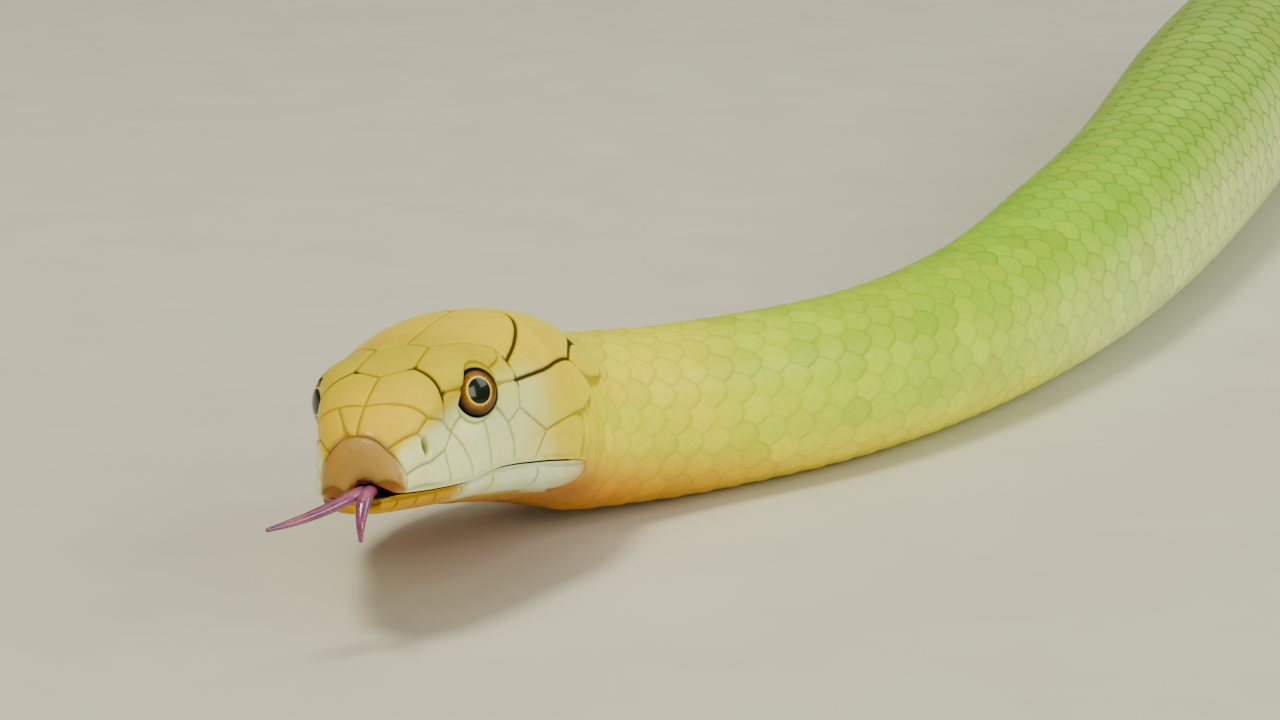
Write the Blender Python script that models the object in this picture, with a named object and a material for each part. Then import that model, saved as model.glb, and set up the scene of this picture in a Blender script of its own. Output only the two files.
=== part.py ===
"""King cobra, life size, lying on the floor with its head just raised and the tongue out.

Metres, +Z up. X runs to the right of the picture, Y away from it, the floor is z = 0.
Head shapes are in millimetres in the head's own frame: distance back from the snout,
distance to the snake's left and height over the line of the mouth.
"""

import math

import bmesh
import bpy
import numpy as np
from mathutils import Vector
from mathutils.geometry import delaunay_2d_cdt

MM = 0.001
GAP = 0.3
HALF_GAP = 0.5 * GAP

# the animal's sizes

LENGTH = 3.2
VENT = 2.58
HEAD_U = 90.0
MOUTH_U = 61.0
EYE_AT = (30.0, 0.56)
EYE_RADIUS = 3.8
EYE_BULGE = 1.75
# how far the eye looks forward, as a slope
EYE_FORWARD = 0.32
SOCKET_RADIUS = 4.15
SOCKET_DEPTH = 2.75
# the nostril's place on the head, and its half width and half height
NOSTRIL_AT = (13.7, 0.66)
NOSTRIL_RADII = (1.15, 2.0)
PLATE_HEIGHT = 0.4
SEAM_FOOT = 0.22
SEAM_TOP = 0.55
SCUTE_PITCH = 0.68
SCUTE_STEP = 0.5
BACK_POWER = 2.15
BELLY_POWER = 2.4
BELLY_FLAT = 0.985
HIGH = 1.045
DEEP = 0.907

NECK_END = 0.30
BODY_LENGTHS = 8
TAIL_LENGTHS = 2

# Each prong of the tongue: distance back, left and up, and radius, from root to tip.
TONGUE_RIGHT = [(8, -0.5, -1.2, 0.85), (3, -0.6, -0.95, 1.1), (0, -0.65, -0.75, 1.3),
                (-2.5, -1.3, -1.2, 1.3), (-5, -3.1, -2.2, 1.2), (-9, -7.0, -3.5, 0.95),
                (-13, -10.8, -4.2, 0.45)]
TONGUE_LEFT = [(8, 0.5, -1.2, 0.85), (3, 0.6, -0.95, 1.1), (0, 0.65, -0.75, 1.3),
               (-2.4, 1.0, -1.6, 1.25), (-4.4, 1.5, -3.6, 1.0), (-5.6, 1.8, -5.7, 0.7),
               (-5.9, 1.8, -7.8, 0.35)]

# where the head is and how it is turned

TIP = (-0.0446, 0.5927, 0.0274)
HEAD_TURN = 15.6
HEAD_PITCH = 7.1
HEAD_ROLL = 7.5
HEAD_STRAIGHT = 0.054

# The middle of the whole snake's box is moved to the origin.
SHIFT = (-0.4225, -0.8339)

# The line of the body over the floor, from the nape to the tip of the tail.
ROUTE = [
    (0.003, 0.6855),
    (0.027, 0.704),
    (0.053, 0.733),
    (0.088, 0.796),
    (0.114, 0.864),
    (0.142, 0.955),
    (0.172, 1.045),
    (0.226, 1.122),
    (0.302, 1.128),
    (0.340, 1.052),
    (0.332, 0.945),
    (0.302, 0.835),
    (0.286, 0.725),
    (0.302, 0.612),
    (0.362, 0.540),
    (0.442, 0.552),
    (0.482, 0.636),
    (0.484, 0.745),
    (0.474, 0.855),
    (0.484, 0.962),
    (0.524, 1.060),
    (0.602, 1.106),
    (0.676, 1.056),
    (0.698, 0.958),
    (0.678, 0.850),
    (0.660, 0.742),
    (0.670, 0.638),
    (0.728, 0.572),
    (0.802, 0.590),
    (0.838, 0.668),
    (0.834, 0.752),
    (0.806, 0.832),
    (0.800, 0.905),
    (0.824, 0.966),
    (0.876, 0.984),
    (0.922, 0.952),
]

# Half width, and height above and below the middle line, along the body: (metres, metres).
GIRTH = [
    (0.083, 0.0162),
    (0.110, 0.0159),
    (0.160, 0.0156),
    (0.200, 0.0163),
    (0.260, 0.0188),
    (0.310, 0.0200),
    (0.430, 0.0232),
    (0.800, 0.0262),
    (1.300, 0.0280),
    (1.900, 0.0272),
    (2.300, 0.0235),
    (2.580, 0.0182),
    (2.800, 0.0132),
    (3.000, 0.0083),
    (3.140, 0.0042),
    (3.200, 0.0014),
]

# the head's lines, each a list of (distance over the snout, millimetres)

BACK = [(0, 1.2), (1.5, 0.6), (4, 1.0), (7, 2.6), (11, 5.8), (16, 10.3), (24, 17.9), (90, 83)]
WIDE = [(0, 0), (1.5, 3.1), (4, 5.4), (7, 6.9), (11, 8.4), (16, 10.1), (24, 12.7), (30, 14.3),
        (40, 17.4), (50, 20.2), (60, 21.6), (68, 21.6), (78, 19.8), (90, 16.2)]
TOP = [(0, 0.7), (1.5, 3.2), (4, 6.0), (7, 8.5), (11, 11.2), (16, 13.6), (24, 16.6), (32, 18.6),
       (40, 19.9), (52, 21.6), (62, 22.4), (74, 21.5), (90, 16.93)]
MOUTH = [(0, 0.7), (1.5, -0.4), (4, -1.4), (8, -1.7), (16, -2.1), (22, -2.2), (28, -1.7),
         (34, -1.3), (44, -2.0), (54, -3.2), (62, -4.2), (90, 0)]
# how far the lips are parted at the front, where the tongue comes out
LIPS_OPEN = [(0, 2.6), (1.0, 2.0), (2, 1.25), (3, 0.55), (4.5, 0.12), (7, 0), (90, 0)]
# the notch in the upper lip for the tongue: how far it sits to the left, and how far it is
# open and where its roof is, by distance from its middle
NOTCH_LEAN = 1.2
NOTCH_GAP = [(0, 2.6), (2.2, 2.0), (3.6, 1.25), (4.6, 0.55), (5.7, 0.12), (6.9, 0)]
NOTCH_ROOF = [(0, 0.7), (3.1, -0.4), (5.4, -1.4), (6.9, -1.65), (30, -1.7)]
JAW_SHARE = [(0, 0.94), (30, 0.97), (58, 1), (90, 1)]
LOW = [(0, -2.7), (1.5, -3.6), (4, -4.1), (8, -4.4), (16, -5.0), (30, -6.0), (45, -7.6),
       (60, -9.9), (72, -11.6), (82, -13.2), (90, -14.7)]
SQUARE = [(0, 2.0), (6, 2.3), (14, 2.9), (26, 3.6), (40, 3.0), (60, 2.6), (90, BACK_POWER)]
PALATE = [(0, 0), (2, 1.7), (14, 1.7), (20, 0.2), (61, 0.2)]

# the shields of the head, as corners (distance over the snout, part of the way from the
# middle of the crown to the lip); each is drawn on the left and mirrored

MIDDLE_SHIELDS = {
    "rostral": [(0, 0), (1.0, 0.99), (6.8, 0.99), (7.6, 0.81), (5.8, 0.43), (6.1, 0)],
    "frontal": [(21, 0), (24, 0.19), (34, 0.15), (36.5, 0)],
}
SIDE_SHIELDS = {
    "front nasal": [(5.8, 0.43), (7.6, 0.81), (14.2, 0.79), (13.7, 0.66), (12.8, 0.53)],
    "rear nasal": [(12.8, 0.53), (16, 0.49), (20.3, 0.58), (22, 0.68), (18.5, 0.76),
                   (14.2, 0.79), (13.7, 0.66)],
    "prefrontal": [(12.3, 0), (13.5, 0.24), (15, 0.38), (16, 0.49), (20.3, 0.58), (21, 0.43),
                   (24, 0.19), (21, 0)],
    "supraocular": [(24, 0.19), (21, 0.43), (26.9, 0.49), (33.5, 0.49), (40.2, 0.465),
                    (42.3, 0.40), (38, 0.25), (34, 0.15)],
    "preocular": [(21, 0.43), (26.9, 0.49), (26.8, 0.62), (22, 0.68), (20.3, 0.58)],
    "upper postocular": [(33.5, 0.49), (40.2, 0.465), (42.3, 0.40), (41.8, 0.49),
                         (41.4, 0.59), (33.6, 0.57)],
    "lower postocular": [(33.6, 0.57), (41.4, 0.59), (39.8, 0.72), (36, 0.78), (32.6, 0.65)],
    "parietal": [(36.5, 0), (34, 0.15), (38, 0.25), (42.3, 0.40), (41.8, 0.49), (48.5, 0.43),
                 (59, 0.31), (65, 0.17), (61, 0)],
    "occipital": [(61, 0), (65, 0.17), (59, 0.31), (48.5, 0.43), (41.8, 0.49), (41.4, 0.59),
                  (52.5, 0.595), (66.5, 0.55), (78, 0.42), (81, 0.2), (79, 0)],
    "upper temporal": [(41.4, 0.59), (52.5, 0.595), (66.5, 0.55), (72, 0.65), (73, 0.72),
                       (63.5, 0.80), (46.5, 0.86), (39.8, 0.72)],
    "behind": [(78, 0.42), (66.5, 0.55), (72, 0.65), (84, 0.63), (87.5, 0.52), (86, 0.42)],
    "lip 1": [(6.8, 0.99), (7.6, 0.81), (14.2, 0.79), (18.5, 0.76), (18.2, 0.99)],
    "lip 2": [(18.5, 0.76), (22, 0.68), (24.2, 0.88), (24, 0.99), (18.2, 0.99)],
    "lip 3": [(22, 0.68), (26.8, 0.62), (29.6, 0.66), (30.5, 0.86), (29.5, 0.99),
              (24, 0.99), (24.2, 0.88)],
    "lip 4": [(29.6, 0.66), (32.6, 0.65), (36, 0.78), (37, 0.88), (36.4, 0.99),
              (29.5, 0.99), (30.5, 0.86)],
    "lip 5": [(36, 0.78), (39.8, 0.72), (46.5, 0.86), (42, 0.99), (36.4, 0.99), (37, 0.88)],
    "lip 6": [(46.5, 0.86), (63.5, 0.80), (57, 0.99), (42, 0.99)],
}
# The internasals, which a narrow strip between them makes unlike; these aren't mirrored.
ODD_SHIELDS = {
    "strip": [(12.3, 0), (6.1, 0), (6.0, -0.12), (13.5, -0.24)],
    "left internasal": [(6.1, 0), (5.8, 0.43), (12.8, 0.53), (16, 0.49), (15, 0.38),
                        (13.5, 0.24), (12.3, 0)],
    "right internasal": [(6.0, -0.12), (13.5, -0.24), (15, -0.38), (16, -0.49),
                         (12.8, -0.53), (5.8, -0.43)],
}

# On the jaw the second number runs from the middle of the chin to the lip.
JAW_MIDDLE_SHIELDS = {
    "mental": [(0.4, 0), (1.4, 0.92), (4.6, 0.92), (6.2, 0)],
}
JAW_SIDE_SHIELDS = {
    "chin lip 1": [(4.6, 0.92), (10, 0.96), (11.5, 0.55), (10.5, 0), (6.2, 0)],
    "chin lip 2": [(10, 0.96), (15, 0.98), (17, 0.62), (11.5, 0.55)],
    "chin lip 3": [(15, 0.98), (22, 0.99), (24, 0.62), (17, 0.62)],
    "chin lip 4": [(22, 0.99), (31, 0.99), (34, 0.58), (24, 0.62)],
    "chin lip 5": [(31, 0.99), (43, 0.99), (47, 0.64), (34, 0.58)],
    "chin lip 6": [(43, 0.99), (59, 0.99), (59, 0.70), (47, 0.64)],
    "front chin": [(10.5, 0), (11.5, 0.55), (17, 0.62), (24, 0.62), (25.5, 0.30), (24, 0)],
    "rear chin": [(24, 0), (25.5, 0.30), (24, 0.62), (34, 0.58), (38, 0.36), (36, 0)],
    "throat 1": [(36, 0), (38, 0.36), (34, 0.58), (47, 0.64), (48, 0.34), (47, 0)],
    "throat 2": [(47, 0), (48, 0.34), (47, 0.64), (59, 0.70), (59, 0.35), (59, 0)],
}


# Material name, colour and roughness, by how the node's name begins.
LOOKS = {
    "head": ("head_shields", (0.72, 0.50, 0.12), 0.35),
    "jaw": ("lip_and_throat", (0.80, 0.62, 0.22), 0.4),
    "eye": ("eye", (0.30, 0.12, 0.03), 0.08),
    "tongue": ("tongue", (0.30, 0.14, 0.30), 0.25),
    "prong": ("tongue", (0.30, 0.14, 0.30), 0.25),
    "neck": ("neck_skin", (0.76, 0.60, 0.06), 0.4),
    "body": ("body_skin", (0.42, 0.52, 0.24), 0.4),
    "tail": ("body_skin", (0.42, 0.52, 0.24), 0.4),
}


def clear_scene():
    for obj in list(bpy.data.objects):
        bpy.data.objects.remove(obj)


def along(x, stations):
    """Values of a smooth line through the stations that never overshoots them."""
    at = np.array([s[0] for s in stations], float)
    value = np.array([s[1] for s in stations], float)
    step = np.diff(at)
    rise = np.diff(value) / step
    slope = np.concatenate([rise[:1], np.zeros(len(step) - 1), rise[-1:]])
    for i in range(1, len(step)):
        if rise[i - 1] * rise[i] > 0:
            before = 2 * step[i] + step[i - 1]
            after = step[i] + 2 * step[i - 1]
            slope[i] = (before + after) / (before / rise[i - 1] + after / rise[i])
    x = np.clip(np.asarray(x, float), at[0], at[-1])
    i = np.clip(np.searchsorted(at, x) - 1, 0, len(step) - 1)
    t = (x - at[i]) / step[i]
    start = (1 + 2 * t) * (1 - t) ** 2 * value[i] + t * (1 - t) ** 2 * step[i] * slope[i]
    end = t * t * (3 - 2 * t) * value[i + 1] + t * t * (t - 1) * step[i] * slope[i + 1]
    return start + end


def bell(x, middle, half):
    return np.exp(-(((np.asarray(x, float) - middle) / half) ** 2))


def unit(v):
    return v / np.linalg.norm(v, axis=-1, keepdims=True)


def ease(x, low, high):
    t = np.clip((np.asarray(x, float) - low) / (high - low), 0, 1)
    return t * t * (3 - 2 * t)


# the middle line and its frames


def head_axes():
    """Unit vectors back, to the snake's left and up, of the turned head."""
    turn, pitch, roll = (math.radians(a) for a in (HEAD_TURN, HEAD_PITCH, HEAD_ROLL))
    back = np.array([math.sin(turn) * math.cos(pitch), math.cos(turn) * math.cos(pitch),
                     -math.sin(pitch)])
    side = np.array([math.cos(turn), -math.sin(turn), 0.0])
    up = np.cross(side, back)
    left = side * math.cos(roll) + up * math.sin(roll)
    return back, left, np.cross(left, back)


def spline(points, first):
    """A curve through the points that leaves the first one along the direction given."""
    points = np.asarray(points, float)
    chord = np.linalg.norm(np.diff(points, axis=0), axis=1)
    n = len(points)
    matrix = np.zeros((n, n))
    right = np.zeros((n, 3))
    matrix[0, 0] = 1
    right[0] = first
    for i in range(1, n - 1):
        matrix[i, i - 1] = chord[i]
        matrix[i, i] = 2 * (chord[i] + chord[i - 1])
        matrix[i, i + 1] = chord[i - 1]
        ahead = (points[i + 1] - points[i]) / chord[i]
        behind = (points[i] - points[i - 1]) / chord[i - 1]
        right[i] = 3 * (chord[i - 1] * ahead + chord[i] * behind)
    matrix[-1, -2:] = 1, 2
    right[-1] = 3 * (points[-1] - points[-2]) / chord[-1]
    slope = np.linalg.solve(matrix, right)
    curve = []
    for i in range(n - 1):
        for t in np.arange(0, 1, 0.02):
            a = (1 + 2 * t) * (1 - t) ** 2 * points[i] + t * (1 - t) ** 2 * chord[i] * slope[i]
            b = t * t * (3 - 2 * t) * points[i + 1] + t * t * (t - 1) * chord[i] * slope[i + 1]
            curve.append(a + b)
    return np.array(curve + [points[-1]])


class Spine:
    """The middle line from the snout to the tip of the tail, with a frame at each place."""

    def __init__(self):
        back, left, up = head_axes()
        tip = np.array(TIP)
        nape = tip + back * HEAD_STRAIGHT
        floor = [(x, y, DEEP * along(s, GIRTH)) for (x, y), s in zip(ROUTE, self.rough())]
        bent = spline([nape] + floor, back)
        straight = tip + back * np.linspace(0, HEAD_STRAIGHT, 55)[:-1, None]
        line = np.concatenate([straight, bent])
        run = np.concatenate([[0], np.cumsum(np.linalg.norm(np.diff(line, axis=0), axis=1))])
        self.whole = run[-1]
        self.at = np.linspace(0, LENGTH, 3201)
        self.middle = np.stack([np.interp(self.at, run, line[:, k]) for k in range(3)], 1)
        settled = ease(self.at, 0.10, 0.14)
        flat = DEEP * BELLY_FLAT * along(self.at, GIRTH)
        self.middle[:, 2] = self.middle[:, 2] * (1 - settled) + flat * settled
        go = unit(np.gradient(self.middle, axis=0))
        lean = ease(self.at, 0.045, 0.115)[:, None]
        want = up * (1 - lean) + np.array([0, 0, 1.0]) * lean
        self.left = unit(np.cross(go, want))
        self.up = unit(np.cross(self.left, go))
        rigid = self.at < HEAD_STRAIGHT - 0.002
        self.left[rigid] = left
        self.up[rigid] = up
        self.middle[:, :2] += SHIFT

    @staticmethod
    def rough():
        """About how far along the snake each point of the route is."""
        plan = np.array(ROUTE)
        chord = np.linalg.norm(np.diff(plan, axis=0), axis=1)
        return 0.105 + np.concatenate([[0], np.cumsum(chord)])

    def place(self, s, y, z):
        """World points for distance back s, distance left y and height z, all in metres."""
        s, y, z = np.broadcast_arrays(np.asarray(s, float), y, z)
        pick = [np.stack([np.interp(s, self.at, part[:, k]) for k in range(3)], -1)
                for part in (self.middle, self.left, self.up)]
        ahead = np.minimum(s, 0)[..., None] * head_axes()[0]
        return pick[0] + ahead + pick[1] * y[..., None] + pick[2] * z[..., None]


# the surface of the head


def brow_and_cheek(u, w):
    """How far the side of the head stands out, in millimetres."""
    brow = 1.4 * bell(u, 29.3, 7.0) * bell(w, 0.45, 0.12)
    ridge = 0.6 * bell(u, 18, 6) * bell(w, 0.42, 0.15)
    hollow = -1.1 * bell(u, 22, 5) * bell(w, 0.64, 0.13)
    ahead = -1.3 * bell(u, 24.6, 3.8) * bell(w, 0.56, 0.12)
    behind = 1.0 * bell(u, 37, 5) * bell(w, 0.58, 0.15)
    lip = 0.5 * bell(u, 22, 14) * bell(w, 0.95, 0.08)
    return (brow + ridge + hollow + ahead + behind + lip) * np.clip(u / 3, 0, 1)


def leant(points):
    """The head's points with the notch for the tongue moved left and its right side shut."""
    x, y, z = points[..., 0], points[..., 1], points[..., 2]
    gap = along(np.abs(y), NOTCH_GAP)
    over = z - along(np.abs(y), NOTCH_ROOF)
    upper = ease(over, -0.45 * gap - 0.1, -0.05) * (1 - ease(over, 0, 5.5))
    front = ease(x, -1.5, 0) * (1 - ease(x, 1.2, 2.4))
    drop = gap * ease(-y, 1.8, 3.2) * upper * front
    push = NOTCH_LEAN * bell(x, 0, 5) * bell(y, 0.5, 5.5) * bell(z, -1, 4.5)
    return np.stack([x, y + push, z - drop], -1)


class Shell:
    """A skin of the head by distance over the snout, and part of the way to the lip."""

    def __init__(self, jaw):
        self.jaw = jaw
        self.u = np.linspace(0, HEAD_U, 361)
        self.w = np.linspace(0, 1, 65)
        angle = np.linspace(0, math.pi / 2, 181)
        points = np.zeros((len(self.u), len(self.w), 3))
        self.girth = np.zeros(len(self.u))
        for i, u in enumerate(self.u):
            wide, lip, power = along(u, WIDE), along(u, MOUTH), 2 / along(u, SQUARE)
            end = along(u, TOP)
            parted = HALF_GAP * (1 - ease(u, MOUTH_U - 0.8, MOUTH_U))
            if jaw:
                wide, end, power = wide * along(u, JAW_SHARE), along(u, LOW), 2 / BELLY_POWER
                lip = lip - along(u, LIPS_OPEN) - parted
            else:
                lip = lip + parted
            if u == 0:
                end = lip
            y = wide * np.sin(angle) ** power
            z = lip + (end - lip) * np.cos(angle) ** power
            if jaw:
                z = np.maximum(z, end * (1 - (1 - BELLY_FLAT) * ease(u, 50, 85)))
            run = np.concatenate([[0], np.cumsum(np.hypot(np.diff(y), np.diff(z)))])
            self.girth[i] = run[-1]
            part = np.linspace(0, 1, len(run)) if run[-1] < 1e-6 else run / run[-1]
            x = along(u, BACK) + (math.exp(-u / 8) if jaw else 0)
            points[i, :, 0] = x
            points[i, :, 1] = np.interp(self.w, part, y)
            points[i, :, 2] = np.interp(self.w, part, z)
        ahead = np.gradient(points, axis=0)
        round_ = np.gradient(points, axis=1)
        normal = np.cross(round_, ahead) if jaw else np.cross(ahead, round_)
        size = np.linalg.norm(normal, axis=-1, keepdims=True)
        self.normal = normal / np.maximum(size, 1e-9)
        self.normal[0] = (-1, 0, 0)
        if not jaw:
            out = brow_and_cheek(self.u[:, None], self.w[None, :])
            points = points + self.normal * out[..., None]
        self.points = points

    def pick(self, table, u, w):
        fu = np.clip(u / HEAD_U, 0, 1) * (len(self.u) - 1)
        fw = np.clip(np.abs(w), 0, 1) * (len(self.w) - 1)
        i = np.minimum(fu.astype(int), len(self.u) - 2)
        j = np.minimum(fw.astype(int), len(self.w) - 2)
        a = (fu - i)[..., None]
        b = (fw - j)[..., None]
        near = table[i, j] * (1 - b) + table[i, j + 1] * b
        far = table[i + 1, j] * (1 - b) + table[i + 1, j + 1] * b
        found = near * (1 - a) + far * a
        found[..., 1] *= np.where(np.asarray(w) < 0, -1, 1)
        return found

    def point(self, u, w, lift=0.0):
        """Head-frame points, raised by the lift in millimetres."""
        u, w, lift = np.broadcast_arrays(np.asarray(u, float), w, lift)
        out = unit(self.pick(self.normal, u, w) + 1e-12)
        return self.pick(self.points, u, w) + out * lift[..., None]

    def spread(self, u):
        """Millimetres from the middle of the crown or chin round to the lip."""
        return np.interp(u, self.u, self.girth)


# meshes


def colour(name):
    """The material for a node: the first entry whose name begins the node's name."""
    look = next(look for start, look in LOOKS.items() if name.startswith(start))
    found = bpy.data.materials.get(look[0])
    if found:
        return found
    found = bpy.data.materials.new(look[0])
    found.use_nodes = True
    shader = found.node_tree.nodes["Principled BSDF"]
    shader.inputs["Base Color"].default_value = (*look[1], 1)
    shader.inputs["Roughness"].default_value = look[2]
    shader.inputs["Metallic"].default_value = 0.0
    return found


def collection(name):
    found = bpy.data.collections.get(name)
    if not found:
        found = bpy.data.collections.new(name)
        bpy.context.scene.collection.children.link(found)
    return found


def make_node(name, points, faces, group="king_cobra"):
    """One closed body from world points in metres and faces, with its normals outward."""
    mesh = bpy.data.meshes.new(name)
    mesh.from_pydata([tuple(p) for p in points], [], [tuple(f) for f in faces])
    body = bmesh.new()
    body.from_mesh(mesh)
    bmesh.ops.remove_doubles(body, verts=body.verts, dist=2e-6)
    bmesh.ops.dissolve_degenerate(body, edges=body.edges, dist=1e-6)
    bmesh.ops.triangulate(body, faces=body.faces)
    bmesh.ops.recalc_face_normals(body, faces=body.faces)
    body.to_mesh(mesh)
    body.free()
    mesh.materials.append(colour(name))
    mesh.shade_smooth()
    mesh.set_sharp_from_angle(angle=math.radians(35))
    obj = bpy.data.objects.new(name, mesh)
    collection(group).objects.link(obj)
    return obj


def inside(points, polygon):
    """Which points lie in the polygon."""
    points = np.asarray(points, float).reshape(-1, 2)
    found = np.zeros(len(points), bool)
    for a, b in zip(polygon, np.roll(polygon, -1, axis=0)):
        crosses = (a[1] > points[:, 1]) != (b[1] > points[:, 1])
        rise = np.where(b[1] == a[1], 1e-12, b[1] - a[1])
        at = a[0] + (points[:, 1] - a[1]) * (b[0] - a[0]) / rise
        found ^= crosses & (points[:, 0] < at)
    return found


def away(points, polygon):
    """How far each point is from the polygon's edge."""
    points = np.asarray(points, float).reshape(-1, 2)
    best = np.full(len(points), 1e9)
    for a, b in zip(polygon, np.roll(polygon, -1, axis=0)):
        edge = b - a
        t = np.clip((points - a) @ edge / max(edge @ edge, 1e-12), 0, 1)
        best = np.minimum(best, np.linalg.norm(points - a - t[:, None] * edge, axis=1))
    return best


def divided(polygon, step):
    """The polygon with its long edges cut into even steps."""
    out = []
    for a, b in zip(polygon, np.roll(polygon, -1, axis=0)):
        count = max(1, math.ceil(np.linalg.norm(b - a) / step))
        out += [a + (b - a) * k / count for k in range(count)]
    return np.array(out)


def drawn_in(polygon, distance):
    """The polygon with each edge moved in by the distance."""
    ahead = np.roll(polygon, -1, axis=0) - polygon
    turned = polygon[:, 0] @ np.roll(polygon, -1, axis=0)[:, 1]
    turned -= polygon[:, 1] @ np.roll(polygon, -1, axis=0)[:, 0]
    normal = unit(np.stack([-ahead[:, 1], ahead[:, 0]], 1)) * (1 if turned > 0 else -1)
    before = np.roll(normal, 1, axis=0)
    share = np.maximum(1 + (normal * before).sum(1, keepdims=True), 0.5)
    return polygon + (normal + before) / share * distance


class Net:
    """Points on the flattened skin of the head, each with its place in space, and loops."""

    def __init__(self, lay):
        self.lay = lay
        self.flat = []
        self.solid = []
        self.edges = []

    def add(self, flat, solid):
        self.flat.append(Vector((float(flat[0]), float(flat[1]))))
        self.solid.append(np.asarray(solid, float))
        return len(self.flat) - 1

    def loop(self, polygon, solids):
        ids = [self.add(p, q) for p, q in zip(polygon, solids)]
        self.edges += list(zip(ids, ids[1:] + ids[:1]))
        return ids

    def triangles(self, outline):
        flat, _, faces, origin, _, _ = delaunay_2d_cdt(self.flat, self.edges, [outline], 1, 1e-5)
        points = []
        for p, source in zip(flat, origin):
            if source:
                points.append(self.solid[source[0]])
            else:
                points.append(self.lay(np.array([[p[0], p[1]]]), 0.0)[0])
        return np.array(points), [tuple(f) for f in faces]


def cleared(ring, holes, margin):
    """The ring with its points pushed out of each oval hole and its margin."""
    for middle, radii in holes:
        reach = np.array(radii) + margin
        off = (ring - middle) / reach
        far = np.linalg.norm(off, axis=1, keepdims=True)
        ring = np.where(far < 1, middle + off / np.maximum(far, 1e-6) * reach, ring)
    return ring


def finer_by(ring, holes, step):
    """The ring with more points wherever it passes near a hole."""
    out = []
    for a, b in zip(ring, np.roll(ring, -1, axis=0)):
        near = any(np.linalg.norm(((a + b) / 2 - middle) / (np.array(radii) + 2.5)) < 1
                   for middle, radii in holes)
        count = max(1, math.ceil(np.linalg.norm(b - a) / step)) if near else 1
        out += [a + (b - a) * k / count for k in range(count)]
    return np.array(out)


def add_plates(net, plates, holes, size):
    """Lays each plate on the net: a foot at the skin, then its raised top."""
    tops = []
    for plate in plates:
        for distance, lift in ((SEAM_FOOT, 0.0), (SEAM_TOP, PLATE_HEIGHT)):
            ring = finer_by(drawn_in(plate, distance), holes, 1.7)
            ring = cleared(ring, holes, distance)
            net.loop(ring, net.lay(ring, lift))
        tops.append(ring)
    low = np.min([t.min(0) for t in tops], axis=0)
    high = np.max([t.max(0) for t in tops], axis=0)
    u, y = np.meshgrid(np.arange(low[0], high[0], size), np.arange(low[1], high[1], size))
    y = y + 0.5 * size * (np.round((u - low[0]) / size) % 2)
    spots = np.stack([u.ravel(), y.ravel()], 1)
    for top in tops:
        for spot in spots[inside(spots, top) & (away(spots, top) > 0.45 * size)]:
            net.add(spot, net.lay(spot[None], PLATE_HEIGHT)[0])


def cap(points, faces, ring, middle):
    """Closes a ring of point numbers with a fan about a middle place."""
    points.append(middle)
    centre = len(points) - 1
    faces += [(a, b, centre) for a, b in zip(ring, ring[1:] + ring[:1])]


def rows_between(rows):
    """Faces between rows of the same number of points; a first row may be one point."""
    points = [p for row in rows for p in row]
    faces = []
    start = 0
    for row, after in zip(rows, rows[1:]):
        next_start = start + len(row)
        for k in range(len(after) - 1):
            if len(row) == 1:
                faces.append((start, next_start + k, next_start + k + 1))
            else:
                faces.append((start + k, next_start + k, next_start + k + 1, start + k + 1))
        start = next_start
    return points, faces


def joined(parts):
    points, faces = [], []
    for more, cells in parts:
        start = len(points)
        points += [np.asarray(p, float) for p in more]
        faces += [tuple(start + k for k in cell) for cell in cells]
    return points, faces


LIP_STEPS = [0.0, 0.7, 1.6, 2.8, 4.2, 6, 8, 10, 12.5, 15, 18, 21, 24, 27, 30, 34, 38, 42, 46, 50,
             54, 57.5]


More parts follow.
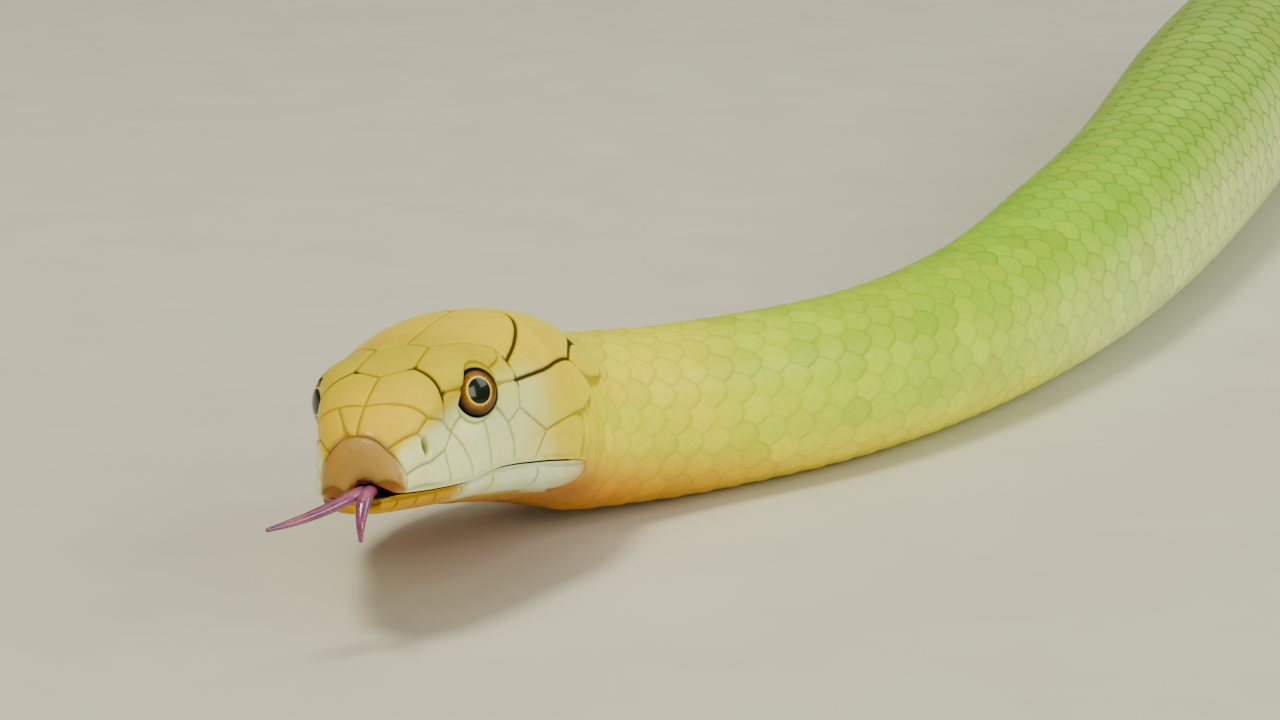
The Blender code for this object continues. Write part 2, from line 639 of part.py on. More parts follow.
class Head:
    def __init__(self, spine):
        self.spine = spine
        self.top = Shell(False)
        self.low = Shell(True)

    def world(self, points):
        points = leant(np.asarray(points, float)) * MM
        return self.spine.place(points[..., 0], points[..., 1], points[..., 2])

    def lay_top(self, flat, lift):
        """Head-frame points of the flattened upper skin, which wraps the throat behind."""
        u, y = flat[:, 0], flat[:, 1]
        top = np.maximum(self.top.spread(u), 1e-6)
        w = y / top
        below = 1 - (np.abs(y) - top) / np.maximum(self.low.spread(u), 1e-6)
        crown = self.top.point(u, np.clip(w, -1, 1), lift)
        throat = self.low.point(u, np.clip(below, 0, 1) * np.sign(w), lift)
        over = (np.abs(w) < 1 + 1e-6) | (u < MOUTH_U - 0.01)
        return np.where(over[:, None], crown, throat)

    def lay_low(self, flat, lift):
        u, y = flat[:, 0], flat[:, 1]
        return self.low.point(u, y / np.maximum(self.low.spread(u), 1e-6), lift)

    def flatten(self, shell, corners):
        return np.array([(u, w * float(shell.spread(u))) for u, w in corners])

    def plates(self, shell, middle, sides, odd):
        found = [divided(self.flatten(shell, corners), 3.6) for corners in odd.values()]
        for corners in middle.values():
            both = corners + [(u, -w) for u, w in corners[::-1] if w > 0]
            found.append(divided(self.flatten(shell, both), 3.6))
        for corners in sides.values():
            one = divided(self.flatten(shell, corners), 3.6)
            found += [one, (one * (1, -1))[::-1]]
        return found

    def eye_frame(self, side):
        """Middle, outward, back and up directions of an eye, in the head's frame."""
        flat = self.flatten(self.top, [EYE_AT])[0] * (1, side)
        ring = self.lay_top(self.circle(flat, SOCKET_RADIUS, SOCKET_RADIUS, 16), 0.0)
        middle = ring.mean(0)
        spoke = ring - middle
        out = unit(np.cross(spoke, np.roll(spoke, -1, axis=0)).sum(0)) * side
        out = out if out[1] * side > 0 else -out
        out = unit(out - np.array([EYE_FORWARD, 0, 0]))
        back = unit(np.array([1.0, 0, 0]) - out * out[0])
        return middle, out, back, np.cross(back, out) * side

    def head_faces(self):
        net = Net(self.lay_top)
        edge = []
        for u in LIP_STEPS + [MOUTH_U]:
            edge.append((u, float(self.top.spread(u))))
        step = np.linspace(0, 1, 7)
        edge += [(MOUTH_U, self.top.spread(MOUTH_U) + t * self.low.spread(MOUTH_U))
                 for t in step[1:]]
        under = np.linspace(MOUTH_U, HEAD_U, 7)
        edge += [(u, self.top.spread(u) + self.low.spread(u)) for u in under[1:]]
        rear = self.top.spread(HEAD_U) + self.low.spread(HEAD_U)
        half = [(HEAD_U, t * rear) for t in np.linspace(1, 0, 12)[1:]]
        right = [(u, -y) for u, y in (edge + half[:-1])[::-1]][:-1]
        outline = np.array(edge + half + right)
        ids = net.loop(outline, self.lay_top(outline, 0.0))
        holes = []
        for side in (1, -1):
            rim = SOCKET_RADIUS + 0.65
            holes.append((self.flatten(self.top, [EYE_AT])[0] * (1, side), (rim, rim)))
            rim = (NOSTRIL_RADII[0] * 1.3 + 0.1, NOSTRIL_RADII[1] * 1.3 + 0.1)
            holes.append((self.flatten(self.top, [NOSTRIL_AT])[0] * (1, side), rim))
        plates = self.plates(self.top, MIDDLE_SHIELDS, SIDE_SHIELDS, ODD_SHIELDS)
        add_plates(net, plates, holes, 4.0)
        for side in (1, -1):
            self.add_socket(net, side)
            self.add_nostril(net, side)
        for u in (80, 85):
            for y in np.linspace(-0.85, 0.85, 9):
                spot = np.array([[u, y * (self.top.spread(u) + self.low.spread(u))]])
                if not any(inside(spot, p)[0] for p in plates):
                    net.add(spot[0], self.lay_top(spot, 0.0)[0])
        for u in (66, 72):
            for part in (0.3, 0.65):
                for side in (1, -1):
                    y = side * (self.top.spread(u) + part * self.low.spread(u))
                    spot = np.array([[u, y]])
                    net.add(spot[0], self.lay_top(spot, 0.0)[0])
        skin = net.triangles(ids)
        rows = [[self.top.point(0.0, 1.0)]]
        for u in LIP_STEPS[1:] + [MOUTH_U]:
            lip = self.top.point(u, 1.0)
            t = np.linspace(1, -1, 7)
            z = lip[2] + float(along(u, PALATE)) * (1 - t ** 2) ** 0.7
            rows.append(np.stack([np.full(7, lip[0]), t * lip[1], z], 1))
        palate = rows_between(rows)
        low = [self.lay_top(np.array([[u, side * y]]), 0.0)[0]
               for side, part in ((1, step[1:]), (-1, step[-2:0:-1]))
               for u, y in [(MOUTH_U, self.top.spread(MOUTH_U) + t * self.low.spread(MOUTH_U))
                            for t in part]]
        wall = list(rows[-1][::-1]) + low
        wall_faces = []
        cap(wall, wall_faces, list(range(len(wall))), np.mean(wall, axis=0))
        back = list(self.lay_top(np.array(half + [(u, -y) for u, y in half[-2::-1]]), 0.0))
        back.append(self.low.point(HEAD_U, 0.0))
        back_faces = []
        cap(back, back_faces, list(range(len(back))), np.array([back[0][0], 0.0, 0.0]))
        return joined([skin, palate, (wall, wall_faces), (back, back_faces)])

    def jaw_faces(self):
        net = Net(self.lay_low)
        end = MOUTH_U - 0.35
        edge = [(u, float(self.low.spread(u))) for u in LIP_STEPS + [end]]
        side = [(end, t * float(self.low.spread(end))) for t in np.linspace(1, 0, 7)[1:]]
        right = [(u, -y) for u, y in (edge + side[:-1])[::-1]][:-1]
        outline = np.array(edge + side + right)
        ids = net.loop(outline, self.lay_low(outline, 0.0))
        plates = self.plates(self.low, JAW_MIDDLE_SHIELDS, JAW_SIDE_SHIELDS, {})
        add_plates(net, plates, [], 5.0)
        skin = net.triangles(ids)
        rows = [[self.low.point(0.0, 1.0)]]
        for u in LIP_STEPS[1:] + [end]:
            lip = self.low.point(u, 1.0)
            t = np.linspace(1, -1, 7)
            z = lip[2] - 0.3 * float(bell(u, 8, 6)) * (1 - t ** 2)
            rows.append(np.stack([np.full(7, lip[0]), t * lip[1], z], 1))
        bed = rows_between(rows)
        around = side + [(u, -y) for u, y in side[-2::-1]]
        wall = list(rows[-1][::-1]) + list(self.lay_low(np.array(around), 0.0))
        wall_faces = []
        cap(wall, wall_faces, list(range(len(wall))), np.mean(wall, axis=0))
        return joined([skin, bed, (wall, wall_faces)])

    def add_socket(self, net, side):
        """The raised rim round an eye and the bowl that the eye sits in."""
        flat = self.flatten(self.top, [EYE_AT])[0] * (1, side)
        middle, out, back, up = self.eye_frame(side)

        def level(radius, count, high):
            turn = np.arange(count)[:, None] * 2 * math.pi / count
            spoke = np.cos(turn) * back - side * np.sin(turn) * up
            return middle + radius * spoke + out * high

        for grow, lift, share in ((0.6, 0.0, 0.0), (0.4, 0.35, 0.5), (0.12, 0.35, 0.8)):
            radius = SOCKET_RADIUS + grow
            ring = self.circle(flat, radius, radius, 18)
            skin = self.lay_top(ring, lift)
            net.loop(ring, skin * (1 - share) + level(radius, 18, lift) * share)
        for part, count in ((0.97, 18), (0.8, 14), (0.45, 8)):
            radius = SOCKET_RADIUS * part
            ring = self.circle(flat, radius, radius, count)
            net.loop(ring, level(radius, count, -SOCKET_DEPTH * math.sqrt(1 - part ** 2)))
        net.add(flat, middle - out * SOCKET_DEPTH)

    def add_nostril(self, net, side):
        middle = self.flatten(self.top, [NOSTRIL_AT])[0] * (1, side)
        wide, high = NOSTRIL_RADII
        out = unit(self.top.point(NOSTRIL_AT[0], NOSTRIL_AT[1] * side, 1.0)
                   - self.top.point(NOSTRIL_AT[0], NOSTRIL_AT[1] * side))
        for part, count, lift in ((1.3, 14, 0.3), (1.0, 14, 0.1)):
            ring = self.circle(middle, wide * part, high * part, count)
            net.loop(ring, self.lay_top(ring, lift))
        for part, count, sunk in ((0.85, 14, 1.4), (0.5, 8, 2.4)):
            ring = self.circle(middle, wide * part, high * part, count)
            net.loop(ring, self.lay_top(ring, 0.0) - out * sunk)

    @staticmethod
    def circle(middle, wide, high, count):
        turn = np.arange(count) * 2 * math.pi / count
        return middle + np.stack([wide * np.cos(turn), high * np.sin(turn)], 1)

    def eye(self, side):
        middle, out, back, up = self.eye_frame(side)
        middle = middle - out * 0.2
        parts = np.sin(np.linspace(0, math.pi / 2, 5))
        rings = [(p, EYE_BULGE * math.sqrt(1 - p * p)) for p in parts]
        rings += [(p, -2.2 * math.sqrt(1 - p * p)) for p in parts[-2::-1]]
        turn = np.linspace(0, 2 * math.pi, 19)
        rows = []
        for part, high in rings:
            radius = EYE_RADIUS * part
            row = middle + out * high
            row = row + radius * (np.cos(turn)[:, None] * back + np.sin(turn)[:, None] * up)
            rows.append(row)
        return rows_between(rows)


# tongue


def tongue(spine, head):
    """Two round prongs, one from each side of the root, joined where they lie together."""
    prongs = []
    for name, path in (("tongue", TONGUE_RIGHT), ("prong", TONGUE_LEFT)):
        path = np.array(path, float)
        run = np.concatenate([[0], np.cumsum(np.linalg.norm(np.diff(path[:, :3], axis=0),
                                                            axis=1))])
        at = np.linspace(0, run[-1], 15)
        line = np.stack([along(at, list(zip(run, path[:, k]))) for k in range(4)], 1)
        go = unit(np.gradient(line[:, :3], axis=0))
        side = unit(np.cross(go, (0, 0, 1.0)))
        up = np.cross(side, go)
        turn = np.arange(10) * 2 * math.pi / 10
        points = []
        for k, (middle, radius) in enumerate(zip(line[:, :3], line[:, 3])):
            ring = side[k] * np.cos(turn)[:, None] * radius
            ring = ring + up[k] * np.sin(turn)[:, None] * radius * 0.8
            points += list(middle + ring)
        faces = []
        for k in range(len(line) - 1):
            for j in range(10):
                a, b = k * 10 + j, k * 10 + (j + 1) % 10
                faces.append((a, b, b + 10, a + 10))
        cap(points, faces, list(range(10)), line[0, :3])
        last = list(range(len(line) * 10 - 10, len(line) * 10))
        cap(points, faces, last, line[-1, :3] + go[-1] * line[-1, 3] * 0.7)
        group = "king_cobra" if name == "tongue" else "cutters"
        prongs.append(make_node(name, head.world(points), faces, group))
    keep, other = prongs
    other.hide_render = True
    other.display_type = "WIRE"
    join = keep.modifiers.new("join", "BOOLEAN")
    join.operation = "UNION"
    join.solver = "EXACT"
    join.object = other
    return keep


# neck, body and tail


def section(radius, sunk):
    """Left to right over the back, then under the belly: (side, height), and flat below."""
    points = []
    for a in np.radians(np.linspace(90, 0, 5)):
        points.append((radius * math.sin(a) ** (2 / BACK_POWER),
                       HIGH * radius * math.cos(a) ** (2 / BACK_POWER)))
    points += [(-y, z) for y, z in points[-2::-1]]
    belly = []
    share = 1 - sunk / radius
    for b in np.radians((80, 56, 30)):
        y = radius * math.cos(b) ** (2 / BELLY_POWER)
        z = -DEEP * radius * min(math.sin(b) ** (2 / BELLY_POWER), BELLY_FLAT)
        belly.append((y * share, z * share))
    return points + [(-y, z) for y, z in belly[::-1]] + belly


def scute_edges():
    """Where each belly scute begins, from the nape to the tip of the tail."""
    edges = [float(along(HEAD_U, BACK)) * MM]
    while edges[-1] < LENGTH:
        edges.append(edges[-1] + max(SCUTE_PITCH * 2 * float(along(edges[-1], GIRTH)), 0.016))
    scale = (LENGTH - edges[0]) / (edges[-1] - edges[0])
    return [edges[0] + (e - edges[0]) * scale for e in edges]


def body_length(spine, name, edges):
    """The part of the body that spans these belly scutes."""
    rows = []
    for start, end in zip(edges, edges[1:]):
        radius = float(along(start, GIRTH))
        step = min(SCUTE_STEP * MM, 0.06 * radius)
        rows.append((start, step))
        rows.append((start + 0.0018, 0.0))
        if end - start > 0.030:
            rows.append(((start + end) / 2, 0.0))
        rows.append((end - 0.0004, 0.0))
    rows[0] = (rows[0][0] + HALF_GAP * MM, 0.0)
    rows[-1] = (edges[-1] - HALF_GAP * MM, 0.0)
    points, faces = [], []
    size = 0
    for s, sunk in rows:
        ring = np.array(section(float(along(s, GIRTH)), sunk))
        size = len(ring)
        points += list(spine.place(np.full(size, s), ring[:, 0], ring[:, 1]))
    for k in range(len(rows) - 1):
        for j in range(size):
            a, b = k * size + j, k * size + (j + 1) % size
            faces.append((a, b, b + size, a + size))
    for k, s in ((0, rows[0][0]), (len(rows) - 1, rows[-1][0])):
        ring = list(range(k * size, k * size + size))
        cap(points, faces, ring, spine.place(s, 0.0, 0.0))
    return make_node(name, points, faces)


def main():
    clear_scene()
    spine = Spine()
    head = Head(spine)
    points, faces = head.head_faces()
    make_node("head", head.world(points), faces)
    points, faces = head.jaw_faces()
    make_node("jaw", head.world(points), faces)
    for side, name in ((1, "eye_left"), (-1, "eye_right")):
        points, faces = head.eye(side)
        make_node(name, head.world(points), faces)
    tongue(spine, head)
    edges = scute_edges()
    ends = [edges[0], NECK_END]
    ends += list(np.linspace(NECK_END, VENT, BODY_LENGTHS + 1)[1:])
    ends += list(np.linspace(VENT, LENGTH, TAIL_LENGTHS + 1)[1:])
    picks = [min(range(len(edges)), key=lambda k, e=e: abs(edges[k] - e)) for e in ends]
    names = ["neck"] + [f"body_{k + 1}" for k in range(BODY_LENGTHS)]
    names += [f"tail_{k + 1}" for k in range(TAIL_LENGTHS)]
    for name, first, last in zip(names, picks, picks[1:]):
        body_length(spine, name, edges[first:last + 1])


main()
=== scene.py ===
"""Looks of the king cobra: one skin under solid scales, the shields of the head, eyes,
tongue and mouth, on a plain floor in soft light, seen as in the photograph.

Metres, +Z up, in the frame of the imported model. Head shapes are in millimetres.
"""

import math
from collections import Counter

import bpy
import numpy as np
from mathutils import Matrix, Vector
from mathutils.geometry import delaunay_2d_cdt


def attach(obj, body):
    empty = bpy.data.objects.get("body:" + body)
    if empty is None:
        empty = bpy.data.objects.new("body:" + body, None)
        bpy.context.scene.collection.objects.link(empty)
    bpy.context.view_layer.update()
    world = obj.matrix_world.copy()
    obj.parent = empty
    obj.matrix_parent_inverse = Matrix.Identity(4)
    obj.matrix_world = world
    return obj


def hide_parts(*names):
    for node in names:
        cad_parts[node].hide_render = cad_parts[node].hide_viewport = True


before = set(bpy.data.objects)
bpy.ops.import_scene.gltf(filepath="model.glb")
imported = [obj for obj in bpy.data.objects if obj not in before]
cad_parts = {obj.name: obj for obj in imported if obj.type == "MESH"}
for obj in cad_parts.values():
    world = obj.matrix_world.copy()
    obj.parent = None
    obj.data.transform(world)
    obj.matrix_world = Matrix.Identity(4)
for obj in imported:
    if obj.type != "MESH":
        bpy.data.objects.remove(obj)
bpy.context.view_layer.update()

MM = 0.001
# from the line where the lips would meet to each lip, in millimetres
HALF_GAP = 0.15

# the animal's sizes, the same as in its solids

LENGTH = 3.2
VENT = 2.58
HEAD_U = 90.0
MOUTH_U = 61.0
EYE_AT = (30.0, 0.56)
EYE_RADIUS = 3.8
EYE_BULGE = 1.75
# how far the eye looks forward, as a slope
EYE_FORWARD = 0.32
SOCKET_RADIUS = 4.15
SOCKET_DEPTH = 2.75
# how far past the socket the shields stop
SOCKET_RIM = 0.40
# the nostril's place on the head, the half width and half height of its slit, its slope, and
# how deep it is and how high its rim
NOSTRIL_AT = (13.7, 0.66)
NOSTRIL_SLIT = (0.95, 1.95)
NOSTRIL_SLOPE = 0.22
NOSTRIL_DEPTH = 2.6
NOSTRIL_RIM = 0.16
BACK_POWER = 2.15
BELLY_POWER = 2.4
BELLY_FLAT = 0.985
HIGH = 1.045
DEEP = 0.907

# Each prong of the tongue: distance back, left and up, and radius, from root to tip.
TONGUE_RIGHT = [(8, -0.5, -1.2, 0.85), (3, -0.6, -0.95, 1.1), (0, -0.65, -0.75, 1.3),
                (-2.5, -1.3, -1.2, 1.3), (-5, -3.1, -2.2, 1.2), (-9, -7.0, -3.5, 0.95),
                (-13, -10.8, -4.2, 0.45)]
TONGUE_LEFT = [(8, 0.5, -1.2, 0.85), (3, 0.6, -0.95, 1.1), (0, 0.65, -0.75, 1.3),
               (-2.4, 1.0, -1.6, 1.25), (-4.4, 1.5, -3.6, 1.0), (-5.6, 1.8, -5.7, 0.7),
               (-5.9, 1.8, -7.8, 0.35)]

# where the head is and how it is turned

TIP = (-0.0446, 0.5927, 0.0274)
HEAD_TURN = 15.6
HEAD_PITCH = 7.1
HEAD_ROLL = 7.5
HEAD_STRAIGHT = 0.054

# The middle of the whole snake's box is moved to the origin.
SHIFT = (-0.4225, -0.8339)

# The line of the body over the floor, from the nape to the tip of the tail, and about how far
# from the snout it begins.
ROUTE_START = 0.105
ROUTE = [
    (0.003, 0.6855), (0.027, 0.704), (0.053, 0.733), (0.088, 0.796),
    (0.114, 0.864), (0.142, 0.955), (0.172, 1.045), (0.226, 1.122),
    (0.302, 1.128), (0.340, 1.052), (0.332, 0.945), (0.302, 0.835),
    (0.286, 0.725), (0.302, 0.612), (0.362, 0.540), (0.442, 0.552),
    (0.482, 0.636), (0.484, 0.745), (0.474, 0.855), (0.484, 0.962),
    (0.524, 1.060), (0.602, 1.106), (0.676, 1.056), (0.698, 0.958),
    (0.678, 0.850), (0.660, 0.742), (0.670, 0.638), (0.728, 0.572),
    (0.802, 0.590), (0.838, 0.668), (0.834, 0.752), (0.806, 0.832),
    (0.800, 0.905), (0.824, 0.966), (0.876, 0.984), (0.922, 0.952),
]

# Half width, and height above and below the middle line, along the body: (metres, metres).
GIRTH = [
    (0.083, 0.0162), (0.110, 0.0159), (0.160, 0.0156), (0.200, 0.0163),
    (0.260, 0.0188), (0.310, 0.0200), (0.430, 0.0232), (0.800, 0.0262),
    (1.300, 0.0280), (1.900, 0.0272), (2.300, 0.0235), (2.580, 0.0182),
    (2.800, 0.0132), (3.000, 0.0083), (3.140, 0.0042), (3.200, 0.0014),
]

# the head's lines, each a list of (distance over the snout, millimetres)

BACK = [(0, 1.2), (1.5, 0.6), (4, 1.0), (7, 2.6), (11, 5.8), (16, 10.3), (24, 17.9), (90, 83)]
WIDE = [(0, 0), (1.5, 3.1), (4, 5.4), (7, 6.9), (11, 8.4), (16, 10.1), (24, 12.7), (30, 14.3),
        (40, 17.4), (50, 20.2), (60, 21.6), (68, 21.6), (78, 19.8), (90, 16.2)]
TOP = [(0, 0.7), (1.5, 3.2), (4, 6.0), (7, 8.5), (11, 11.2), (16, 13.6), (24, 16.6), (32, 18.6),
       (40, 19.9), (52, 21.6), (62, 22.4), (74, 21.5), (90, 16.93)]
MOUTH = [(0, 0.7), (1.5, -0.4), (4, -1.4), (8, -1.7), (16, -2.1), (22, -2.2), (28, -1.7),
         (34, -1.3), (44, -2.0), (54, -3.2), (62, -4.2), (90, 0)]
# how far the lips are parted at the front, where the tongue comes out
LIPS_OPEN = [(0, 2.6), (1.0, 2.0), (2, 1.25), (3, 0.55), (4.5, 0.12), (7, 0), (90, 0)]
# the notch in the upper lip for the tongue: how far it sits to the left, and how far it is
# open and where its roof is, by distance from its middle
NOTCH_LEAN = 1.2
NOTCH_GAP = [(0, 2.6), (2.2, 2.0), (3.6, 1.25), (4.6, 0.55), (5.7, 0.12), (6.9, 0)]
NOTCH_ROOF = [(0, 0.7), (3.1, -0.4), (5.4, -1.4), (6.9, -1.65), (30, -1.7)]
JAW_SHARE = [(0, 0.94), (30, 0.97), (58, 1), (90, 1)]
LOW = [(0, -2.7), (1.5, -3.6), (4, -4.1), (8, -4.4), (16, -5.0), (30, -6.0), (45, -7.6),
       (60, -9.9), (72, -11.6), (82, -13.2), (90, -14.7)]
SQUARE = [(0, 2.0), (6, 2.3), (14, 2.9), (26, 3.6), (40, 3.0), (60, 2.6), (90, BACK_POWER)]
PALATE = [(0, 0), (2, 1.7), (14, 1.7), (20, 0.2), (61, 0.2)]

# the shields of the head, as corners (distance over the snout, part of the way from the
# middle of the crown to the lip); each is drawn on the left and mirrored

MIDDLE_SHIELDS = {
    "rostral": [(0, 0), (1.0, 0.99), (6.8, 0.99), (7.6, 0.81), (5.8, 0.43), (6.1, 0)],
    "frontal": [(21, 0), (24, 0.19), (34, 0.15), (36.5, 0)],
}
SIDE_SHIELDS = {
    "front nasal": [(5.8, 0.43), (7.6, 0.81), (14.2, 0.79), (13.7, 0.66), (12.8, 0.53)],
    "rear nasal": [(12.8, 0.53), (16, 0.49), (20.3, 0.58), (22, 0.68), (18.5, 0.76),
                   (14.2, 0.79), (13.7, 0.66)],
    "prefrontal": [(12.3, 0), (13.5, 0.24), (15, 0.38), (16, 0.49), (20.3, 0.58), (21, 0.43),
                   (24, 0.19), (21, 0)],
    "supraocular": [(24, 0.19), (21, 0.43), (26.9, 0.49), (33.5, 0.49), (40.2, 0.465),
                    (42.3, 0.40), (38, 0.25), (34, 0.15)],
    "preocular": [(21, 0.43), (26.9, 0.49), (26.8, 0.62), (22, 0.68), (20.3, 0.58)],
    "upper postocular": [(33.5, 0.49), (40.2, 0.465), (42.3, 0.40), (41.8, 0.49),
                         (41.4, 0.59), (33.6, 0.57)],
    "lower postocular": [(33.6, 0.57), (41.4, 0.59), (39.8, 0.72), (36, 0.78), (32.6, 0.65)],
    "parietal": [(36.5, 0), (34, 0.15), (38, 0.25), (42.3, 0.40), (41.8, 0.49), (48.5, 0.43),
                 (59, 0.31), (65, 0.17), (61, 0)],
    "occipital": [(61, 0), (65, 0.17), (59, 0.31), (48.5, 0.43), (41.8, 0.49), (41.4, 0.59),
                  (52.5, 0.595), (66.5, 0.55), (78, 0.42), (81, 0.2), (79, 0)],
    "upper temporal": [(41.4, 0.59), (52.5, 0.595), (66.5, 0.55), (72, 0.65), (73, 0.72),
                       (63.5, 0.80), (46.5, 0.86), (39.8, 0.72)],
    "behind": [(78, 0.42), (66.5, 0.55), (72, 0.65), (84, 0.63), (87.5, 0.52), (86, 0.42)],
    "lip 1": [(6.8, 0.99), (7.6, 0.81), (14.2, 0.79), (18.5, 0.76), (18.2, 0.99)],
    "lip 2": [(18.5, 0.76), (22, 0.68), (24.2, 0.88), (24, 0.99), (18.2, 0.99)],
    "lip 3": [(22, 0.68), (26.8, 0.62), (29.6, 0.66), (30.5, 0.86), (29.5, 0.99),
              (24, 0.99), (24.2, 0.88)],
    "lip 4": [(29.6, 0.66), (32.6, 0.65), (36, 0.78), (37, 0.88), (36.4, 0.99),
              (29.5, 0.99), (30.5, 0.86)],
    "lip 5": [(36, 0.78), (39.8, 0.72), (46.5, 0.86), (42, 0.99), (36.4, 0.99), (37, 0.88)],
    "lip 6": [(46.5, 0.86), (63.5, 0.80), (57, 0.99), (42, 0.99)],
}
# The internasals, which a narrow strip between them makes unlike; these aren't mirrored.
ODD_SHIELDS = {
    "strip": [(12.3, 0), (6.1, 0), (6.0, -0.12), (13.5, -0.24)],
    "left internasal": [(6.1, 0), (5.8, 0.43), (12.8, 0.53), (16, 0.49), (15, 0.38),
                        (13.5, 0.24), (12.3, 0)],
    "right internasal": [(6.0, -0.12), (13.5, -0.24), (15, -0.38), (16, -0.49),
                         (12.8, -0.53), (5.8, -0.43)],
}

# On the jaw the second number runs from the middle of the chin to the lip.
JAW_MIDDLE_SHIELDS = {
    "mental": [(0.4, 0), (1.4, 0.92), (4.6, 0.92), (6.2, 0)],
}
JAW_SIDE_SHIELDS = {
    "chin lip 1": [(4.6, 0.92), (10, 0.96), (11.5, 0.55), (10.5, 0), (6.2, 0)],
    "chin lip 2": [(10, 0.96), (15, 0.98), (17, 0.62), (11.5, 0.55)],
    "chin lip 3": [(15, 0.98), (22, 0.99), (24, 0.62), (17, 0.62)],
    "chin lip 4": [(22, 0.99), (31, 0.99), (34, 0.58), (24, 0.62)],
    "chin lip 5": [(31, 0.99), (43, 0.99), (47, 0.64), (34, 0.58)],
    "chin lip 6": [(43, 0.99), (59, 0.99), (59, 0.70), (47, 0.64)],
    "front chin": [(10.5, 0), (11.5, 0.55), (17, 0.62), (24, 0.62), (25.5, 0.30), (24, 0)],
    "rear chin": [(24, 0), (25.5, 0.30), (24, 0.62), (34, 0.58), (38, 0.36), (36, 0)],
    "throat 1": [(36, 0), (38, 0.36), (34, 0.58), (47, 0.64), (48, 0.34), (47, 0)],
    "throat 2": [(47, 0), (48, 0.34), (47, 0.64), (59, 0.70), (59, 0.35), (59, 0)],
}


def along(x, stations):
    """Values of a smooth line through the stations that never overshoots them."""
    at = np.array([s[0] for s in stations], float)
    value = np.array([s[1] for s in stations], float)
    step = np.diff(at)
    rise = np.diff(value) / step
    slope = np.concatenate([rise[:1], np.zeros(len(step) - 1), rise[-1:]])
    for i in range(1, len(step)):
        if rise[i - 1] * rise[i] > 0:
            before = 2 * step[i] + step[i - 1]
            after = step[i] + 2 * step[i - 1]
            slope[i] = (before + after) / (before / rise[i - 1] + after / rise[i])
    x = np.clip(np.asarray(x, float), at[0], at[-1])
    i = np.clip(np.searchsorted(at, x) - 1, 0, len(step) - 1)
    t = (x - at[i]) / step[i]
    start = (1 + 2 * t) * (1 - t) ** 2 * value[i] + t * (1 - t) ** 2 * step[i] * slope[i]
    end = t * t * (3 - 2 * t) * value[i + 1] + t * t * (t - 1) * step[i] * slope[i + 1]
    return start + end


def bell(x, middle, half):
    return np.exp(-(((np.asarray(x, float) - middle) / half) ** 2))


def unit(v):
    return v / np.linalg.norm(v, axis=-1, keepdims=True)


def ease(x, low, high):
    t = np.clip((np.asarray(x, float) - low) / (high - low), 0, 1)
    return t * t * (3 - 2 * t)


def run_of(points):
    """Distance along a line of points, from 0."""
    return np.concatenate([[0], np.cumsum(np.linalg.norm(np.diff(points, axis=0), axis=1))])


def head_axes():
    """Unit vectors back, to the snake's left and up, of the turned head."""
    turn, pitch, roll = (math.radians(a) for a in (HEAD_TURN, HEAD_PITCH, HEAD_ROLL))
    back = np.array([math.sin(turn) * math.cos(pitch), math.cos(turn) * math.cos(pitch),
                     -math.sin(pitch)])
    side = np.array([math.cos(turn), -math.sin(turn), 0.0])
    up = np.cross(side, back)
    left = side * math.cos(roll) + up * math.sin(roll)
    return back, left, np.cross(left, back)


def spline(points, first):
    """A curve through the points that leaves the first one along the direction given."""
    points = np.asarray(points, float)
    chord = np.linalg.norm(np.diff(points, axis=0), axis=1)
    n = len(points)
    matrix = np.zeros((n, n))
    right = np.zeros((n, 3))
    matrix[0, 0] = 1
    right[0] = first
    for i in range(1, n - 1):
        matrix[i, i - 1] = chord[i]
        matrix[i, i] = 2 * (chord[i] + chord[i - 1])
        matrix[i, i + 1] = chord[i - 1]
        ahead = (points[i + 1] - points[i]) / chord[i]
        behind = (points[i] - points[i - 1]) / chord[i - 1]
        right[i] = 3 * (chord[i - 1] * ahead + chord[i] * behind)
    matrix[-1, -2:] = 1, 2
    right[-1] = 3 * (points[-1] - points[-2]) / chord[-1]
    slope = np.linalg.solve(matrix, right)
    curve = []
    for i in range(n - 1):
        for t in np.arange(0, 1, 0.02):
            a = (1 + 2 * t) * (1 - t) ** 2 * points[i] + t * (1 - t) ** 2 * chord[i] * slope[i]
            b = t * t * (3 - 2 * t) * points[i + 1] + t * t * (t - 1) * chord[i] * slope[i + 1]
            curve.append(a + b)
    return np.array(curve + [points[-1]])


